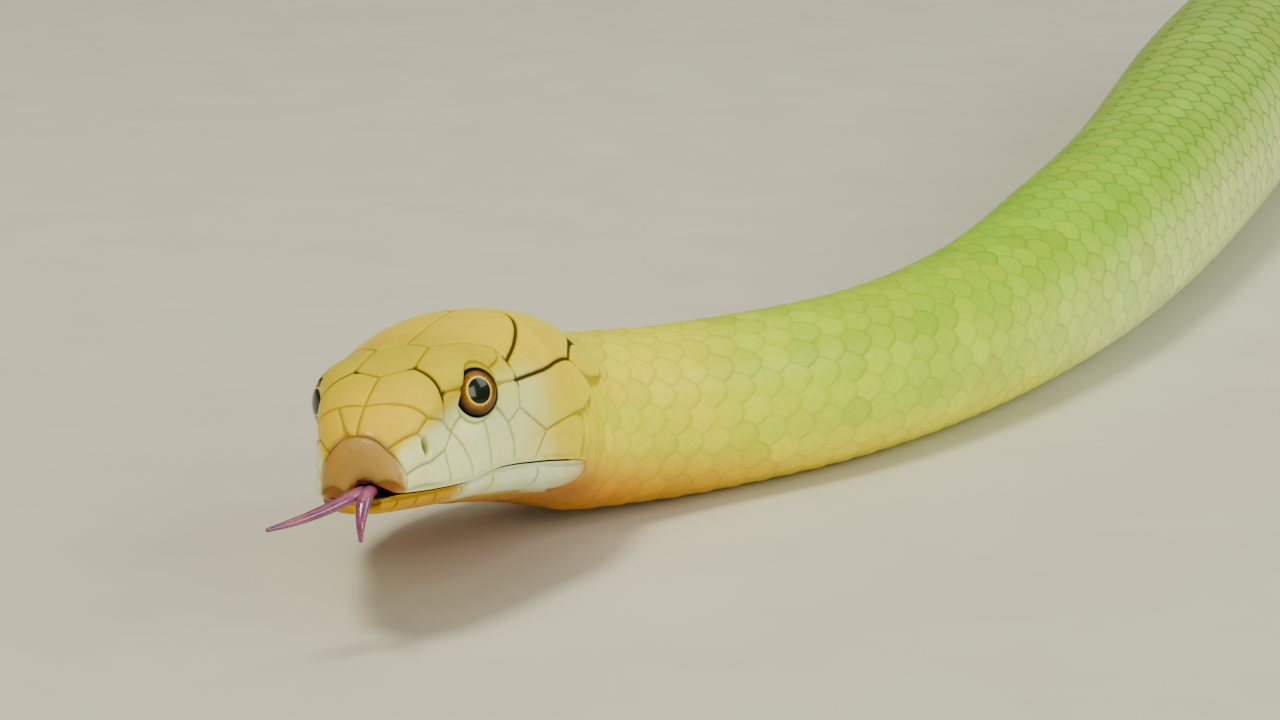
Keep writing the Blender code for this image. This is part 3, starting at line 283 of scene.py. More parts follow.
class Spine:
    """The middle line from the snout to the tip of the tail, with a frame at each place."""

    def __init__(self):
        back, left, up = head_axes()
        tip = np.array(TIP)
        nape = tip + back * HEAD_STRAIGHT
        rough = ROUTE_START + run_of(np.array(ROUTE))
        floor = [(x, y, DEEP * along(s, GIRTH)) for (x, y), s in zip(ROUTE, rough)]
        bent = spline([nape] + floor, back)
        straight = tip + back * np.linspace(0, HEAD_STRAIGHT, 55)[:-1, None]
        line = np.concatenate([straight, bent])
        run = run_of(line)
        self.at = np.linspace(0, LENGTH, 3201)
        self.middle = np.stack([np.interp(self.at, run, line[:, k]) for k in range(3)], 1)
        # behind the neck the belly lies on the floor and up is straight up
        settled = ease(self.at, 0.10, 0.14)
        flat = DEEP * BELLY_FLAT * along(self.at, GIRTH)
        self.middle[:, 2] = self.middle[:, 2] * (1 - settled) + flat * settled
        go = unit(np.gradient(self.middle, axis=0))
        lean = ease(self.at, 0.045, 0.115)[:, None]
        want = up * (1 - lean) + np.array([0, 0, 1.0]) * lean
        self.left = unit(np.cross(go, want))
        self.up = unit(np.cross(self.left, go))
        rigid = self.at < HEAD_STRAIGHT - 0.002
        self.left[rigid] = left
        self.up[rigid] = up
        self.middle[:, :2] += SHIFT

    def place(self, s, y, z):
        """World points for distance back s, distance left y and height z, all in metres."""
        s, y, z = np.broadcast_arrays(np.asarray(s, float), y, z)
        pick = [np.stack([np.interp(s, self.at, part[:, k]) for k in range(3)], -1)
                for part in (self.middle, self.left, self.up)]
        ahead = np.minimum(s, 0)[..., None] * head_axes()[0]
        return pick[0] + ahead + pick[1] * y[..., None] + pick[2] * z[..., None]


def brow_and_cheek(u, w):
    """How far the side of the head stands out, in millimetres."""
    brow = 1.4 * bell(u, 29.3, 7.0) * bell(w, 0.45, 0.12)
    ridge = 0.6 * bell(u, 18, 6) * bell(w, 0.42, 0.15)
    hollow = -1.1 * bell(u, 22, 5) * bell(w, 0.64, 0.13)
    ahead = -1.3 * bell(u, 24.6, 3.8) * bell(w, 0.56, 0.12)
    behind = 1.0 * bell(u, 37, 5) * bell(w, 0.58, 0.15)
    lip = 0.5 * bell(u, 22, 14) * bell(w, 0.95, 0.08)
    return (brow + ridge + hollow + ahead + behind + lip) * np.clip(u / 3, 0, 1)


def leant(points):
    """The head's points with the notch for the tongue moved left and its right side shut."""
    x, y, z = points[..., 0], points[..., 1], points[..., 2]
    gap = along(np.abs(y), NOTCH_GAP)
    over = z - along(np.abs(y), NOTCH_ROOF)
    upper = ease(over, -0.45 * gap - 0.1, -0.05) * (1 - ease(over, 0, 5.5))
    front = ease(x, -1.5, 0) * (1 - ease(x, 1.2, 2.4))
    drop = gap * ease(-y, 1.8, 3.2) * upper * front
    push = NOTCH_LEAN * bell(x, 0, 5) * bell(y, 0.5, 5.5) * bell(z, -1, 4.5)
    return np.stack([x, y + push, z - drop], -1)


class Shell:
    """A skin of the head by distance over the snout, and part of the way to the lip."""

    def __init__(self, jaw):
        self.u = np.linspace(0, HEAD_U, 361)
        self.w = np.linspace(0, 1, 65)
        angle = np.linspace(0, math.pi / 2, 181)
        points = np.zeros((len(self.u), len(self.w), 3))
        self.girth = np.zeros(len(self.u))
        for i, u in enumerate(self.u):
            wide, lip, power = along(u, WIDE), along(u, MOUTH), 2 / along(u, SQUARE)
            end = along(u, TOP)
            parted = HALF_GAP * (1 - ease(u, MOUTH_U - 0.8, MOUTH_U))
            if jaw:
                wide, end, power = wide * along(u, JAW_SHARE), along(u, LOW), 2 / BELLY_POWER
                lip = lip - along(u, LIPS_OPEN) - parted
            else:
                lip = lip + parted
            if u == 0:
                end = lip
            y = wide * np.sin(angle) ** power
            z = lip + (end - lip) * np.cos(angle) ** power
            if jaw:
                z = np.maximum(z, end * (1 - (1 - BELLY_FLAT) * ease(u, 50, 85)))
            run = np.concatenate([[0], np.cumsum(np.hypot(np.diff(y), np.diff(z)))])
            self.girth[i] = run[-1]
            part = np.linspace(0, 1, len(run)) if run[-1] < 1e-6 else run / run[-1]
            # the jaw begins a little behind the upper lip
            x = along(u, BACK) + (math.exp(-u / 8) if jaw else 0)
            points[i, :, 0] = x
            points[i, :, 1] = np.interp(self.w, part, y)
            points[i, :, 2] = np.interp(self.w, part, z)
        ahead = np.gradient(points, axis=0)
        round_ = np.gradient(points, axis=1)
        normal = np.cross(round_, ahead) if jaw else np.cross(ahead, round_)
        size = np.linalg.norm(normal, axis=-1, keepdims=True)
        self.normal = normal / np.maximum(size, 1e-9)
        self.normal[0] = (-1, 0, 0)
        if not jaw:
            out = brow_and_cheek(self.u[:, None], self.w[None, :])
            points = points + self.normal * out[..., None]
        self.points = points


def inside(points, polygon):
    """Which points lie in the polygon."""
    points = np.asarray(points, float).reshape(-1, 2)
    found = np.zeros(len(points), bool)
    for a, b in zip(polygon, np.roll(polygon, -1, axis=0)):
        crosses = (a[1] > points[:, 1]) != (b[1] > points[:, 1])
        rise = np.where(b[1] == a[1], 1e-12, b[1] - a[1])
        at = a[0] + (points[:, 1] - a[1]) * (b[0] - a[0]) / rise
        found ^= crosses & (points[:, 0] < at)
    return found


def away(points, polygon, closed=True):
    """How far each point is from the polygon's edge, or from an open line."""
    points = np.asarray(points, float).reshape(-1, 2)
    best = np.full(len(points), 1e9)
    edges = list(zip(polygon, np.roll(polygon, -1, axis=0)))
    for a, b in edges if closed else edges[:-1]:
        edge = b - a
        t = np.clip((points - a) @ edge / max(edge @ edge, 1e-12), 0, 1)
        best = np.minimum(best, np.linalg.norm(points - a - t[:, None] * edge, axis=1))
    return best


def divided(polygon, step):
    """The polygon with its long edges cut into even steps."""
    out = []
    for a, b in zip(polygon, np.roll(polygon, -1, axis=0)):
        count = max(1, math.ceil(np.linalg.norm(b - a) / step))
        out += [a + (b - a) * k / count for k in range(count)]
    return np.array(out)


def drawn_in(polygon, distance):
    """The polygon with each edge moved in by the distance."""
    ahead = np.roll(polygon, -1, axis=0) - polygon
    turned = polygon[:, 0] @ np.roll(polygon, -1, axis=0)[:, 1]
    turned -= polygon[:, 1] @ np.roll(polygon, -1, axis=0)[:, 0]
    normal = unit(np.stack([-ahead[:, 1], ahead[:, 0]], 1)) * (1 if turned > 0 else -1)
    before = np.roll(normal, 1, axis=0)
    share = np.maximum(1 + (normal * before).sum(1, keepdims=True), 0.5)
    return polygon + (normal + before) / share * distance


# the whole skin

NOSE = HEAD_U - float(along(HEAD_U, BACK))
SIDE_STEPS = 32
FLANK = 0.76
SHIELD_LIFT = 0.36
SKIN_DEPTH = 0.6


class Surface:
    """The snake's surface by distance over it and part of the way round it.

    The part runs from 0 on the back over 1 at the lip or side to 2 at the belly, and is
    negative on the snake's right.
    """

    def __init__(self):
        self.spine = Spine()
        shells = (Shell(False), Shell(True))
        turn = np.linspace(0, math.pi / 2, 181)
        back = np.stack([np.sin(turn) ** (2 / BACK_POWER),
                         HIGH * np.cos(turn) ** (2 / BACK_POWER)], 1)
        belly = np.stack([np.sin(turn) ** (2 / BELLY_POWER),
                          -DEEP * np.minimum(np.cos(turn) ** (2 / BELLY_POWER), BELLY_FLAT)], 1)
        u = np.arange(HEAD_U + 1.5, LENGTH / MM + NOSE, 1.5)
        radius = along((u - NOSE) * MM, GIRTH) / MM
        self.u = np.concatenate([shells[0].u, u])
        self.tables = []
        self.reach = []
        for shell, arc, sign in ((shells[0], back, 1), (shells[1], belly, -1)):
            run = np.concatenate([[0], np.cumsum(np.hypot(*np.diff(arc, axis=0).T))])
            shape = [np.interp(shell.w, run / run[-1], arc[:, k]) for k in range(2)]
            body = np.stack([np.broadcast_to((u - NOSE)[:, None], (len(u), len(shell.w))),
                             radius[:, None] * shape[0], radius[:, None] * shape[1]], -1)
            points = np.concatenate([shell.points, body])
            normal = sign * np.cross(np.gradient(points, axis=0), np.gradient(points, axis=1))
            normal = normal / np.maximum(np.linalg.norm(normal, axis=-1, keepdims=True), 1e-9)
            normal[:len(shell.u)] = shell.normal
            self.tables.append((points, normal))
            self.reach.append(np.concatenate([shell.girth, radius * run[-1]]))

    def pick(self, table, u, w):
        fu = np.interp(u, self.u, np.arange(len(self.u)))
        fw = np.clip(w, 0, 1) * (table.shape[1] - 1)
        i = np.minimum(fu.astype(int), len(self.u) - 2)
        j = np.minimum(fw.astype(int), table.shape[1] - 2)
        a = (fu - i)[..., None]
        b = (fw - j)[..., None]
        near = table[i, j] * (1 - b) + table[i, j + 1] * b
        far = table[i + 1, j] * (1 - b) + table[i + 1, j + 1] * b
        return near * (1 - a) + far * a

    def straight(self, u, q, lift=0.0):
        """Points of the straightened snake in millimetres: back, left and up."""
        u, q, lift = (np.asarray(v, float) for v in np.broadcast_arrays(u, q, lift))
        part = np.abs(q)
        found = np.zeros(u.shape + (3,))
        for below, (points, normals) in enumerate(self.tables):
            use = (part > 1) == bool(below)
            w = (2 - part if below else part)[use]
            out = unit(self.pick(normals, u[use], w) + 1e-12)
            found[use] = self.pick(points, u[use], w) + out * lift[use][..., None]
        found[..., 1] *= np.where(q < 0, -1, 1)
        return found

    def world(self, points):
        points = leant(np.asarray(points, float)) * MM
        return self.spine.place(points[..., 0], points[..., 1], points[..., 2])

    def side_girth(self, u, under):
        """Girth from the middle line to the lip or side, over the back or under the belly."""
        return np.interp(u, self.u, self.reach[under])

    def half_girth(self, u):
        return self.side_girth(u, False) + self.side_girth(u, True)

    def part(self, u, share):
        """Turns a share of the way round, 0 on the back and 1 below, into a part."""
        top, low = (np.maximum(self.side_girth(u, under), 1e-6) for under in (False, True))
        run = np.abs(share) * (top + low)
        found = np.where(run <= top, run / top, 1 + (run - top) / low)
        return np.where(share < 0, -1, 1) * np.minimum(found, 2)

    def share(self, u, q):
        """The share of the way round of a part."""
        top, low = self.side_girth(u, False), np.maximum(self.side_girth(u, True), 1e-6)
        part = np.abs(q)
        return np.where(part <= 1, part * top, top + (part - 1) * low) / (top + low)


# colours

def light(red, green, blue):
    """Linear colour from display values of 0 to 255."""
    value = np.array([red, green, blue]) / 255
    return np.where(value < 0.04, value / 12.92, ((value + 0.055) / 1.055) ** 2.4)


def shades(x, stations):
    """Colour along a list of (place, red, green, blue), with display values."""
    tones = [(at, light(*tone)) for at, *tone in stations]
    return np.stack([along(x, [(at, float(c[k])) for at, c in tones]) for k in range(3)], -1)


def towards(tone, other, share):
    """The tone with a share of the other mixed in."""
    share = np.clip(share, 0, 1)[..., None]
    return tone * (1 - share) + other * share


# colours by distance back in metres
BACK_TONES = [
    (0.05, 248, 228, 0), (0.10, 238, 230, 0), (0.13, 190, 220, 0), (0.17, 172, 212, 4),
    (0.24, 154, 208, 30), (0.33, 152, 202, 64), (0.50, 150, 190, 86), (0.75, 124, 136, 62),
    (1.2, 96, 94, 46), (2.0, 74, 66, 36), (2.7, 52, 44, 28), (3.2, 36, 30, 22),
]
# the flank's own yellow to green, with a painted highlight: the pale stations from 0.24 to 0.45 m,
# fading by 0.60 m, are painted sheen along the lower flank
FLANK_AND_PAINTED_SHEEN_TONES = [
    (0.05, 255, 240, 0), (0.10, 250, 242, 0), (0.13, 222, 242, 10), (0.17, 206, 240, 50),
    (0.24, 220, 252, 120), (0.33, 226, 254, 150), (0.45, 226, 254, 170), (0.60, 188, 220, 124),
    (0.85, 150, 162, 82), (1.4, 118, 116, 62), (2.2, 92, 84, 50), (3.2, 56, 48, 34),
]
BELLY_TONES = [
    (0.05, 206, 120, 0), (0.10, 230, 166, 0), (0.14, 250, 226, 0), (0.19, 244, 244, 40),
    (0.26, 242, 255, 180), (0.50, 236, 252, 184), (0.9, 220, 222, 150), (1.6, 190, 184, 122),
    (2.4, 150, 142, 96), (3.2, 96, 88, 62),
]
SEAM_TONE = light(104, 80, 4)
DEEP_SEAM = light(34, 30, 4)
# painted shade inside the pits of the nostrils
NOSTRIL_SHADE = light(24, 14, 8)
BAND_TONE = light(196, 184, 108)
# the colour of the painted highlight on the body's scales
PAINTED_SHEEN_TONE = light(216, 208, 96)


def body_tone(u, share):
    """Colour of the skin of the body at a distance and share of the way round."""
    s = (u - NOSE) * MM
    part = np.abs(share)
    tone = shades(s, BACK_TONES)
    # the flank's colour, which carries the painted highlight along the lower flank
    tone = towards(tone, shades(s, FLANK_AND_PAINTED_SHEEN_TONES), ease(part, 0.22, 0.48))
    tone = towards(tone, shades(s, BELLY_TONES), ease(part, 0.50, 0.74))
    # pale bands, whose slant and spacing in millimetres shrink along the tail
    slant = 52 - 44 * ease(s, 2.3, 3.1)
    spacing = 50 - 27 * ease(s, 2.3, 3.1)
    wave = np.sin(2 * math.pi * (u + slant * part + 5 * np.sin(u / 37)) / spacing)
    band = ease(wave, 0.45, 0.80) * ease(s, 0.45, 0.85) * (1 - 0.5 * ease(part, 0.6, 0.75))
    return towards(tone, BAND_TONE, 0.48 * band)


def head_tone(u, q):
    """Colour of the shields of the head."""
    part = np.abs(q)
    tone = shades(u, [(0, 222, 186, 16), (12, 236, 202, 0), (22, 218, 196, 0),
                      (34, 214, 198, 0), (46, 240, 212, 0), (66, 250, 226, 0),
                      (90, 250, 234, 0)])
    # the cheek and its rear, the skin behind the eye, the rostral and the tongue's notch
    cheek = ease(part, 0.48, 0.64) * ease(u, 4, 8) * (1 - ease(u, 38, 56)) * (part <= 1)
    rear = ease(part, 0.56, 0.9) * ease(u, 40, 54) * (part <= 1)
    behind = bell(u, 37, 5) * bell(part, 0.60, 0.10)
    front = 1 - ease(u, 5.9, 7.4)
    notch = (1 - ease(u, 2.6, 6.6)) * ease(part, 0.76, 0.94)
    for colour, share in (((244, 255, 190), 0.95 * cheek), ((240, 226, 20), 0.8 * rear),
                          ((236, 232, 70), 0.6 * behind), ((176, 138, 84), 0.9 * front),
                          ((150, 48, 40), 0.9 * notch)):
        tone = towards(tone, light(*colour), share)
    low = np.clip(part - 1, 0, 1)
    chin = shades(u, [(0, 206, 158, 10), (14, 208, 154, 0),
                      (30, 216, 168, 0), (60, 206, 130, 0),
                      (90, 206, 118, 0)])
    pale = ease(u, 19, 26) * (1 - ease(u, 52, 62)) * (1 - ease(low, 0.30, 0.44))
    chin = towards(chin, light(238, 255, 214), 0.95 * pale)
    tone = np.where((part > 1)[..., None], chin, tone)
    return towards(tone, body_tone(u, surface.share(u, q)), ease(u, 60, 82))


# meshes

def object_of(name, points, faces, tone=None, smooth=True, sharp=None):
    mesh = bpy.data.meshes.new(name)
    mesh.vertices.add(len(points))
    mesh.vertices.foreach_set("co", np.asarray(points, np.float32).ravel())
    sizes = np.array([len(f) for f in faces], np.int32)
    mesh.loops.add(int(sizes.sum()))
    corners = np.concatenate([np.asarray(f) for f in faces]).astype(np.int32)
    mesh.loops.foreach_set("vertex_index", corners)
    mesh.polygons.add(len(faces))
    starts = np.concatenate([[0], np.cumsum(sizes)[:-1]]).astype(np.int32)
    mesh.polygons.foreach_set("loop_start", starts)
    mesh.update(calc_edges=True)
    mesh.validate()
    if tone is not None:
        add_colour(mesh, "tone", tone)
    if smooth:
        mesh.shade_smooth()
    if sharp:
        mesh.set_sharp_from_angle(angle=math.radians(sharp))
    obj = bpy.data.objects.new(name, mesh)
    bpy.context.scene.collection.objects.link(obj)
    return obj


def add_colour(mesh, name, tone):
    layer = mesh.color_attributes.new(name, "FLOAT_COLOR", "POINT")
    full = np.concatenate([tone, np.ones((len(tone), 1))], 1)
    layer.data.foreach_set("color", full.astype(np.float32).ravel())


def add_value(mesh, name, values):
    layer = mesh.attributes.new(name, "FLOAT", "POINT")
    layer.data.foreach_set("value", np.asarray(values, np.float32))


def add_unwrap(mesh, spots):
    """The map named OFBake, from a place on the map for each point."""
    layer = mesh.uv_layers.new(name="OFBake")
    corner = np.empty(len(mesh.loops), np.int32)
    mesh.loops.foreach_get("vertex_index", corner)
    layer.data.foreach_set("uv", np.asarray(spots, np.float32)[corner].ravel())


def tube_cells(rows, count):
    """Quads between closed rings of so many points."""
    cells = []
    for k in range(rows - 1):
        for j in range(count):
            a, b = k * count + j, k * count + (j + 1) % count
            cells.append((a, b, b + count, a + count))
    return cells


def sheet_cells(rows, count, start=0):
    """Quads between open rows of so many points, the first of which is number start."""
    corners = [start + a * count + b for a in range(rows - 1) for b in range(count - 1)]
    return [(c, c + 1, c + count + 1, c + count) for c in corners]


def turned_over(cells):
    return [(a, d, c, b) for a, b, c, d in cells]


def ring_spokes(count):
    """Cosine and sine round a circle, as columns."""
    turn = np.arange(count)[:, None] * 2 * math.pi / count
    return np.cos(turn), np.sin(turn)


def welded(parts):
    """Joins (points, faces, values) and merges points that lie together."""
    points, values, faces = [], [], []
    start = 0
    for more, cells, value in parts:
        points.append(more)
        values.append(value)
        faces += [tuple(start + k for k in cell) for cell in cells]
        start += len(more)
    points = np.concatenate(points)
    values = np.concatenate(values)
    key = np.round(points / 2e-6).astype(np.int64)
    _, first, place = np.unique(key, axis=0, return_index=True, return_inverse=True)
    place = place.ravel()
    kept = []
    for face in faces:
        ring = [int(place[k]) for k in face]
        ring = [a for a, b in zip(ring, ring[-1:] + ring[:-1]) if a != b]
        if len(set(ring)) > 2:
            kept.append(tuple(ring))
    return points[first], kept, values[first]


# the shields of the head

THICK_SEAMS = [
    [(61, 0), (65, 0.17), (59, 0.31), (48.5, 0.43), (41.8, 0.49)],
    [(41.4, 0.59), (52.5, 0.595), (66.5, 0.55), (78, 0.42)],
    [(78, 0.42), (81, 0.2), (79, 0)],
    [(21, 0.43), (24, 0.19)],
]


def softened(polygon, fixed, times=2):
    """The polygon with the bends that aren't fixed cut into a smooth line."""
    for _ in range(times):
        points, flags = [], []
        for k in range(len(polygon)):
            here, before, after = polygon[k], polygon[k - 1], polygon[(k + 1) % len(polygon)]
            if fixed[k]:
                points.append(here)
                flags.append(True)
            else:
                points += [here + (before - here) / 4, here + (after - here) / 4]
                flags += [False, False]
        polygon, fixed = np.array(points), flags
    return polygon


class Net:
    """Points of the flattened skin, each with its lift, and the loops that faces follow."""

    def __init__(self):
        self.flat = []
        self.lift = []
        self.dark = []
        self.solid = {}
        self.edges = []

    def add(self, flat, lift, dark=0.0, solid=None):
        self.flat.append(Vector((float(flat[0]), float(flat[1]))))
        self.lift.append(float(lift))
        self.dark.append(float(dark))
        if solid is not None:
            self.solid[len(self.flat) - 1] = solid
        return len(self.flat) - 1

    def loop(self, ring, lift, dark=0.0, solids=None):
        lift = np.broadcast_to(lift, len(ring))
        dark = np.broadcast_to(dark, len(ring))
        ids = [self.add(p, lift[k], dark[k], None if solids is None else solids[k])
               for k, p in enumerate(ring)]
        self.edges += list(zip(ids, ids[1:] + ids[:1]))
        return ids


def thickness(flat, under):
    """How near each flat point is to one of the broad dark seams."""
    best = np.full(len(flat), 1e9)
    for line in THICK_SEAMS:
        for side in (1, -1):
            path = np.array([(u, side * w * surface.side_girth(u, under)) for u, w in line])
            best = np.minimum(best, away(flat, path, closed=False))
    return 1 - ease(best, 0.7, 1.6)


def outlines(under, middle, sides, odd):
    """The flattened outline of each shield, with smooth bends and short rounded corners."""
    raw = dict(odd)
    for name, corners in middle.items():
        raw[name] = corners + [(u, -w) for u, w in corners[::-1] if w > 0]
    for name, corners in sides.items():
        raw[name + " left"] = corners
        raw[name + " right"] = [(u, -w) for u, w in corners[::-1]]
    shared = Counter(corner for corners in raw.values() for corner in corners)
    found = {}
    for name, corners in raw.items():
        flat = np.array([(u, w * surface.side_girth(u, under)) for u, w in corners])
        fixed = [shared[c] > 2 or abs(c[1]) > 0.9 for c in corners]
        found[name] = divided(softened(flat, fixed), 0.75)
    return found


def ring_in(outline, distance):
    """The outline drawn in, without the points that this brings too near its edge."""
    ring = drawn_in(outline, np.broadcast_to(distance, len(outline))[:, None])
    keep = away(ring, outline) > 0.9 * np.broadcast_to(distance, len(outline))
    keep &= inside(ring, outline)
    ring = ring[keep]
    gap = np.linalg.norm(ring - np.roll(ring, 1, axis=0), axis=1)
    return ring[gap > 0.12]


# Each line of a shield's bevel: distance from its edge, more beside a broad seam, lift, and how
# dark the seam is there. Points on the top of a shield are a step apart.
BEVEL = [(0.07, 0.16, 0.05, 1.0), (0.17, 0.20, 0.24, 0.55), (0.36, 0.20, 0.33, 0.12),
         (0.75, 0.2, SHIELD_LIFT, 0.0)]
SHIELD_STEP = 1.05


def lay_shields(net, under, shields, holes):
    """Puts the bevel and the top of every shield in the net, clear of the holes."""
    inner = []
    for outline in shields:
        broad = thickness(outline, under)
        for distance, extra, lift, dark in BEVEL:
            ring = ring_in(outline, distance + extra * broad)
            if len(ring) < 5:
                continue
            ring = cleared(ring, holes, distance)
            keep = np.linalg.norm(ring - np.roll(ring, 1, axis=0), axis=1) > 0.08
            ring = ring[keep]
            net.loop(ring, lift, dark * (0.6 + 0.4 * thickness(ring, under)))
            last = ring
        inner.append(last)
    low = np.min([r.min(0) for r in inner], axis=0)
    high = np.max([r.max(0) for r in inner], axis=0)
    u, y = (np.arange(low[k], high[k], SHIELD_STEP) for k in range(2))
    u, y = np.meshgrid(u, y)
    y = y + 0.5 * SHIELD_STEP * (np.round((u - low[0]) / SHIELD_STEP) % 2)
    spots = np.stack([u.ravel(), y.ravel()], 1)
    for ring in inner:
        near = spots[(spots > ring.min(0)).all(1) & (spots < ring.max(0)).all(1)]
        if len(near):
            near = near[inside(near, ring)]
        if len(near):
            near = near[away(near, ring) > 0.4]
        for middle, radius in holes:
            near = near[np.linalg.norm((near - middle) / (radius + 0.3), axis=1) > 1]
        for spot in near:
            net.add(spot, SHIELD_LIFT)


def cleared(ring, holes, margin):
    """The ring with its points pushed out of each round hole and its margin."""
    for middle, radius in holes:
        reach = radius + margin
        off = (ring - middle) / reach
        far = np.linalg.norm(off, axis=1, keepdims=True)
        ring = np.where(far < 1, middle + off / np.maximum(far, 1e-6) * reach, ring)
    return ring


def circle(middle, radius, count):
    return middle + radius * np.hstack(ring_spokes(count))


def spot_of(place, side=1):
    """Where a place of (distance, part of the way to the lip) lies on the flattened head."""
    return np.array([place[0], place[1] * surface.side_girth(place[0], False)]) * (1, side)


# where the shields end, as (part, distance over the skin)
REAR_LINE = [(0, 80.5), (0.36, 79.5), (0.42, 86), (0.53, 87.5), (0.62, 84.5), (0.66, 74),
             (0.74, 72.5), (0.82, 64), (1.0, 61.5), (2.0, 61)]


def flat_part(flat, under):
    """Distance and part of the way round of flattened points."""
    u, y = flat[:, 0], flat[:, 1]
    top, low = (np.maximum(surface.side_girth(u, k), 1e-6) for k in (False, True))
    if under:
        part = 2 - np.clip(np.abs(y) / low, 0, 0.99999)
    else:
        part = np.where((np.abs(y) <= top * (1 + 1e-9)) | (u < MOUTH_U - 0.01),
                        np.minimum(np.abs(y) / top, 1), 1 + (np.abs(y) - top) / low)
        part = np.minimum(part, 2)
    return u, part * np.where(y < 0, -1, 1)


def sunk(u, q):
    """How far the skin lies under the scales that begin behind the shields."""
    return SKIN_DEPTH * body_size(u) * ease(u - along(np.abs(q), REAR_LINE), -0.3, 1.6)


def body_size(u):
    """Size of the scales here beside those of the thickest part of the body."""
    return along((np.asarray(u, float) - NOSE) * MM, [(0.05, 0.62), (0.2, 0.62), (0.5, 0.9),
                 (1.2, 1.0), (2.2, 0.9), (2.6, 0.7), (3.0, 0.34), (3.2, 0.07)])


def net_mesh(net, outline, under):
    """World points, faces and (distance, part, seam) of a filled net."""
    flat, _, faces, origin, _, _ = delaunay_2d_cdt(net.flat, net.edges, [outline], 1, 1e-5)
    flat = np.array([tuple(p) for p in flat])
    source = np.array([o[0] if o else -1 for o in origin])
    lift = np.where(source < 0, 0.05, np.array(net.lift)[source])
    dark = np.where(source < 0, 0.8, np.array(net.dark)[source])
    u, q = flat_part(flat, under)
    part = np.abs(q)
    edge = 1 - (part - 1) if under else np.where(part <= 1, part, 0)
    near_lip = ease(edge, 0.955, 0.99) * (u < MOUTH_U - 1)
    behind = ease(u - along(part, REAR_LINE), 0.1, 1.0)
    dark = dark * (1 - near_lip) * (1 - 0.85 * behind)
    lift = lift - sunk(u, q) * (lift < 0.5)
    if not under:
        slit = np.where(np.abs(u - NOSTRIL_AT[0]) < 4, slit_reach(flat), 9)
        lift = lift + (SHIELD_LIFT - lift) * (1 - ease(slit, 1.0, 1.25)) * (slit < 1.25)
        lift = lift - NOSTRIL_DEPTH * (1 - ease(slit, 0.45, 1.04))
        lift = lift + NOSTRIL_RIM * bell(slit, 1.14, 0.12)
        # inside the slit the darkness goes past 1, which gives the nostril its painted shade
        dark = np.maximum(dark * ease(slit, 1.0, 1.25), 1.5 * (1 - ease(slit, 0.45, 0.98)))
    points = surface.straight(u, q, lift)
    for k, o in enumerate(source):
        if o in net.solid:
            points[k] = net.solid[o]
    return surface.world(points), [tuple(f) for f in faces], np.stack([u, q, dark], 1)


def eye_frame(side):
    """Middle, outward, back and up directions of an eye, in the head's own frame."""
    flat = spot_of(EYE_AT, side)
    ring = circle(flat, SOCKET_RADIUS, 16)
    solid = surface.straight(*flat_part(ring, False))
    middle = solid.mean(0)
    spoke = solid - middle
    out = unit(np.cross(spoke, np.roll(spoke, -1, axis=0)).sum(0)) * side
    out = out if out[1] * side > 0 else -out
    out = unit(out - np.array([EYE_FORWARD, 0, 0]))
    back = unit(np.array([1.0, 0, 0]) - out * out[0])
    return flat, middle, out, back, np.cross(back, out) * side


def add_socket(net, side):
    """The rim round an eye and the bowl that the eye sits in."""
    flat, middle, out, back, up = eye_frame(side)
    count = 56
    cos, sin = ring_spokes(count)
    spoke = cos * back - side * sin * up

    def level(radius, high):
        return middle + radius * spoke + out * high

    for grow, lift, share, dark in ((0.42, 0.10, 0.3, 0.75), (0.30, 0.20, 0.55, 0.35),
                                    (0.12, 0.22, 0.8, 0.25), (0.0, 0.10, 1.0, 0.6),
                                    (-0.10, -0.35, 1.0, 1.0)):
        radius = SOCKET_RADIUS + grow
        ring = circle(flat, radius, count)
        skin = surface.straight(*flat_part(ring, False), lift)
        net.loop(ring, 1.0, dark, skin * (1 - share) + level(radius, lift) * share)
    for part in (0.93, 0.75, 0.4):
        radius = SOCKET_RADIUS * part
        ring = circle(flat, radius, count)
        net.loop(ring, 1.0, 1.0, level(radius, -SOCKET_DEPTH * math.sqrt(1 - part ** 2)))
    net.add(flat, 1.0, 1.0, middle - out * SOCKET_DEPTH)


def slit_reach(flat):
    """How far flat points lie from the middle of the nearer nostril, whose edge is at 1."""
    middle = spot_of(NOSTRIL_AT)
    across = np.abs(flat[:, 1]) - middle[1]
    back = flat[:, 0] - middle[0] - NOSTRIL_SLOPE * across
    return np.hypot(back / NOSTRIL_SLIT[0], across / NOSTRIL_SLIT[1])


def add_nostril(net, side):
    """Close points for the slit of a nostril, which the skin sinks into."""
    middle = spot_of(NOSTRIL_AT, side)
    for part in (0.0, 0.25, 0.5, 0.65, 0.78, 0.88, 0.97, 1.06, 1.16, 1.3):
        for turn in np.arange(0, 2 * math.pi, 2 * math.pi / max(1, 34 * min(part * 1.6, 1))):
            across = NOSTRIL_SLIT[1] * part * math.sin(turn)
            back = NOSTRIL_SLIT[0] * part * math.cos(turn) + NOSTRIL_SLOPE * across
            net.add(middle + (back, side * across), SHIELD_LIFT)


# where the lip's points lie, from the snout to the corner of the mouth
LIP_STEPS = [0.0, 0.35, 0.7, 1.15, 1.6, 2.2, 2.8, 3.5, 4.2, 5.1, *np.arange(6, MOUTH_U + 1)]


def both_sides(edge, rear):
    """A closed outline from its left edge and the left half of its rear edge."""
    return np.array(edge + rear + [(u, -y) for u, y in (edge + rear[:-1])[:0:-1]])


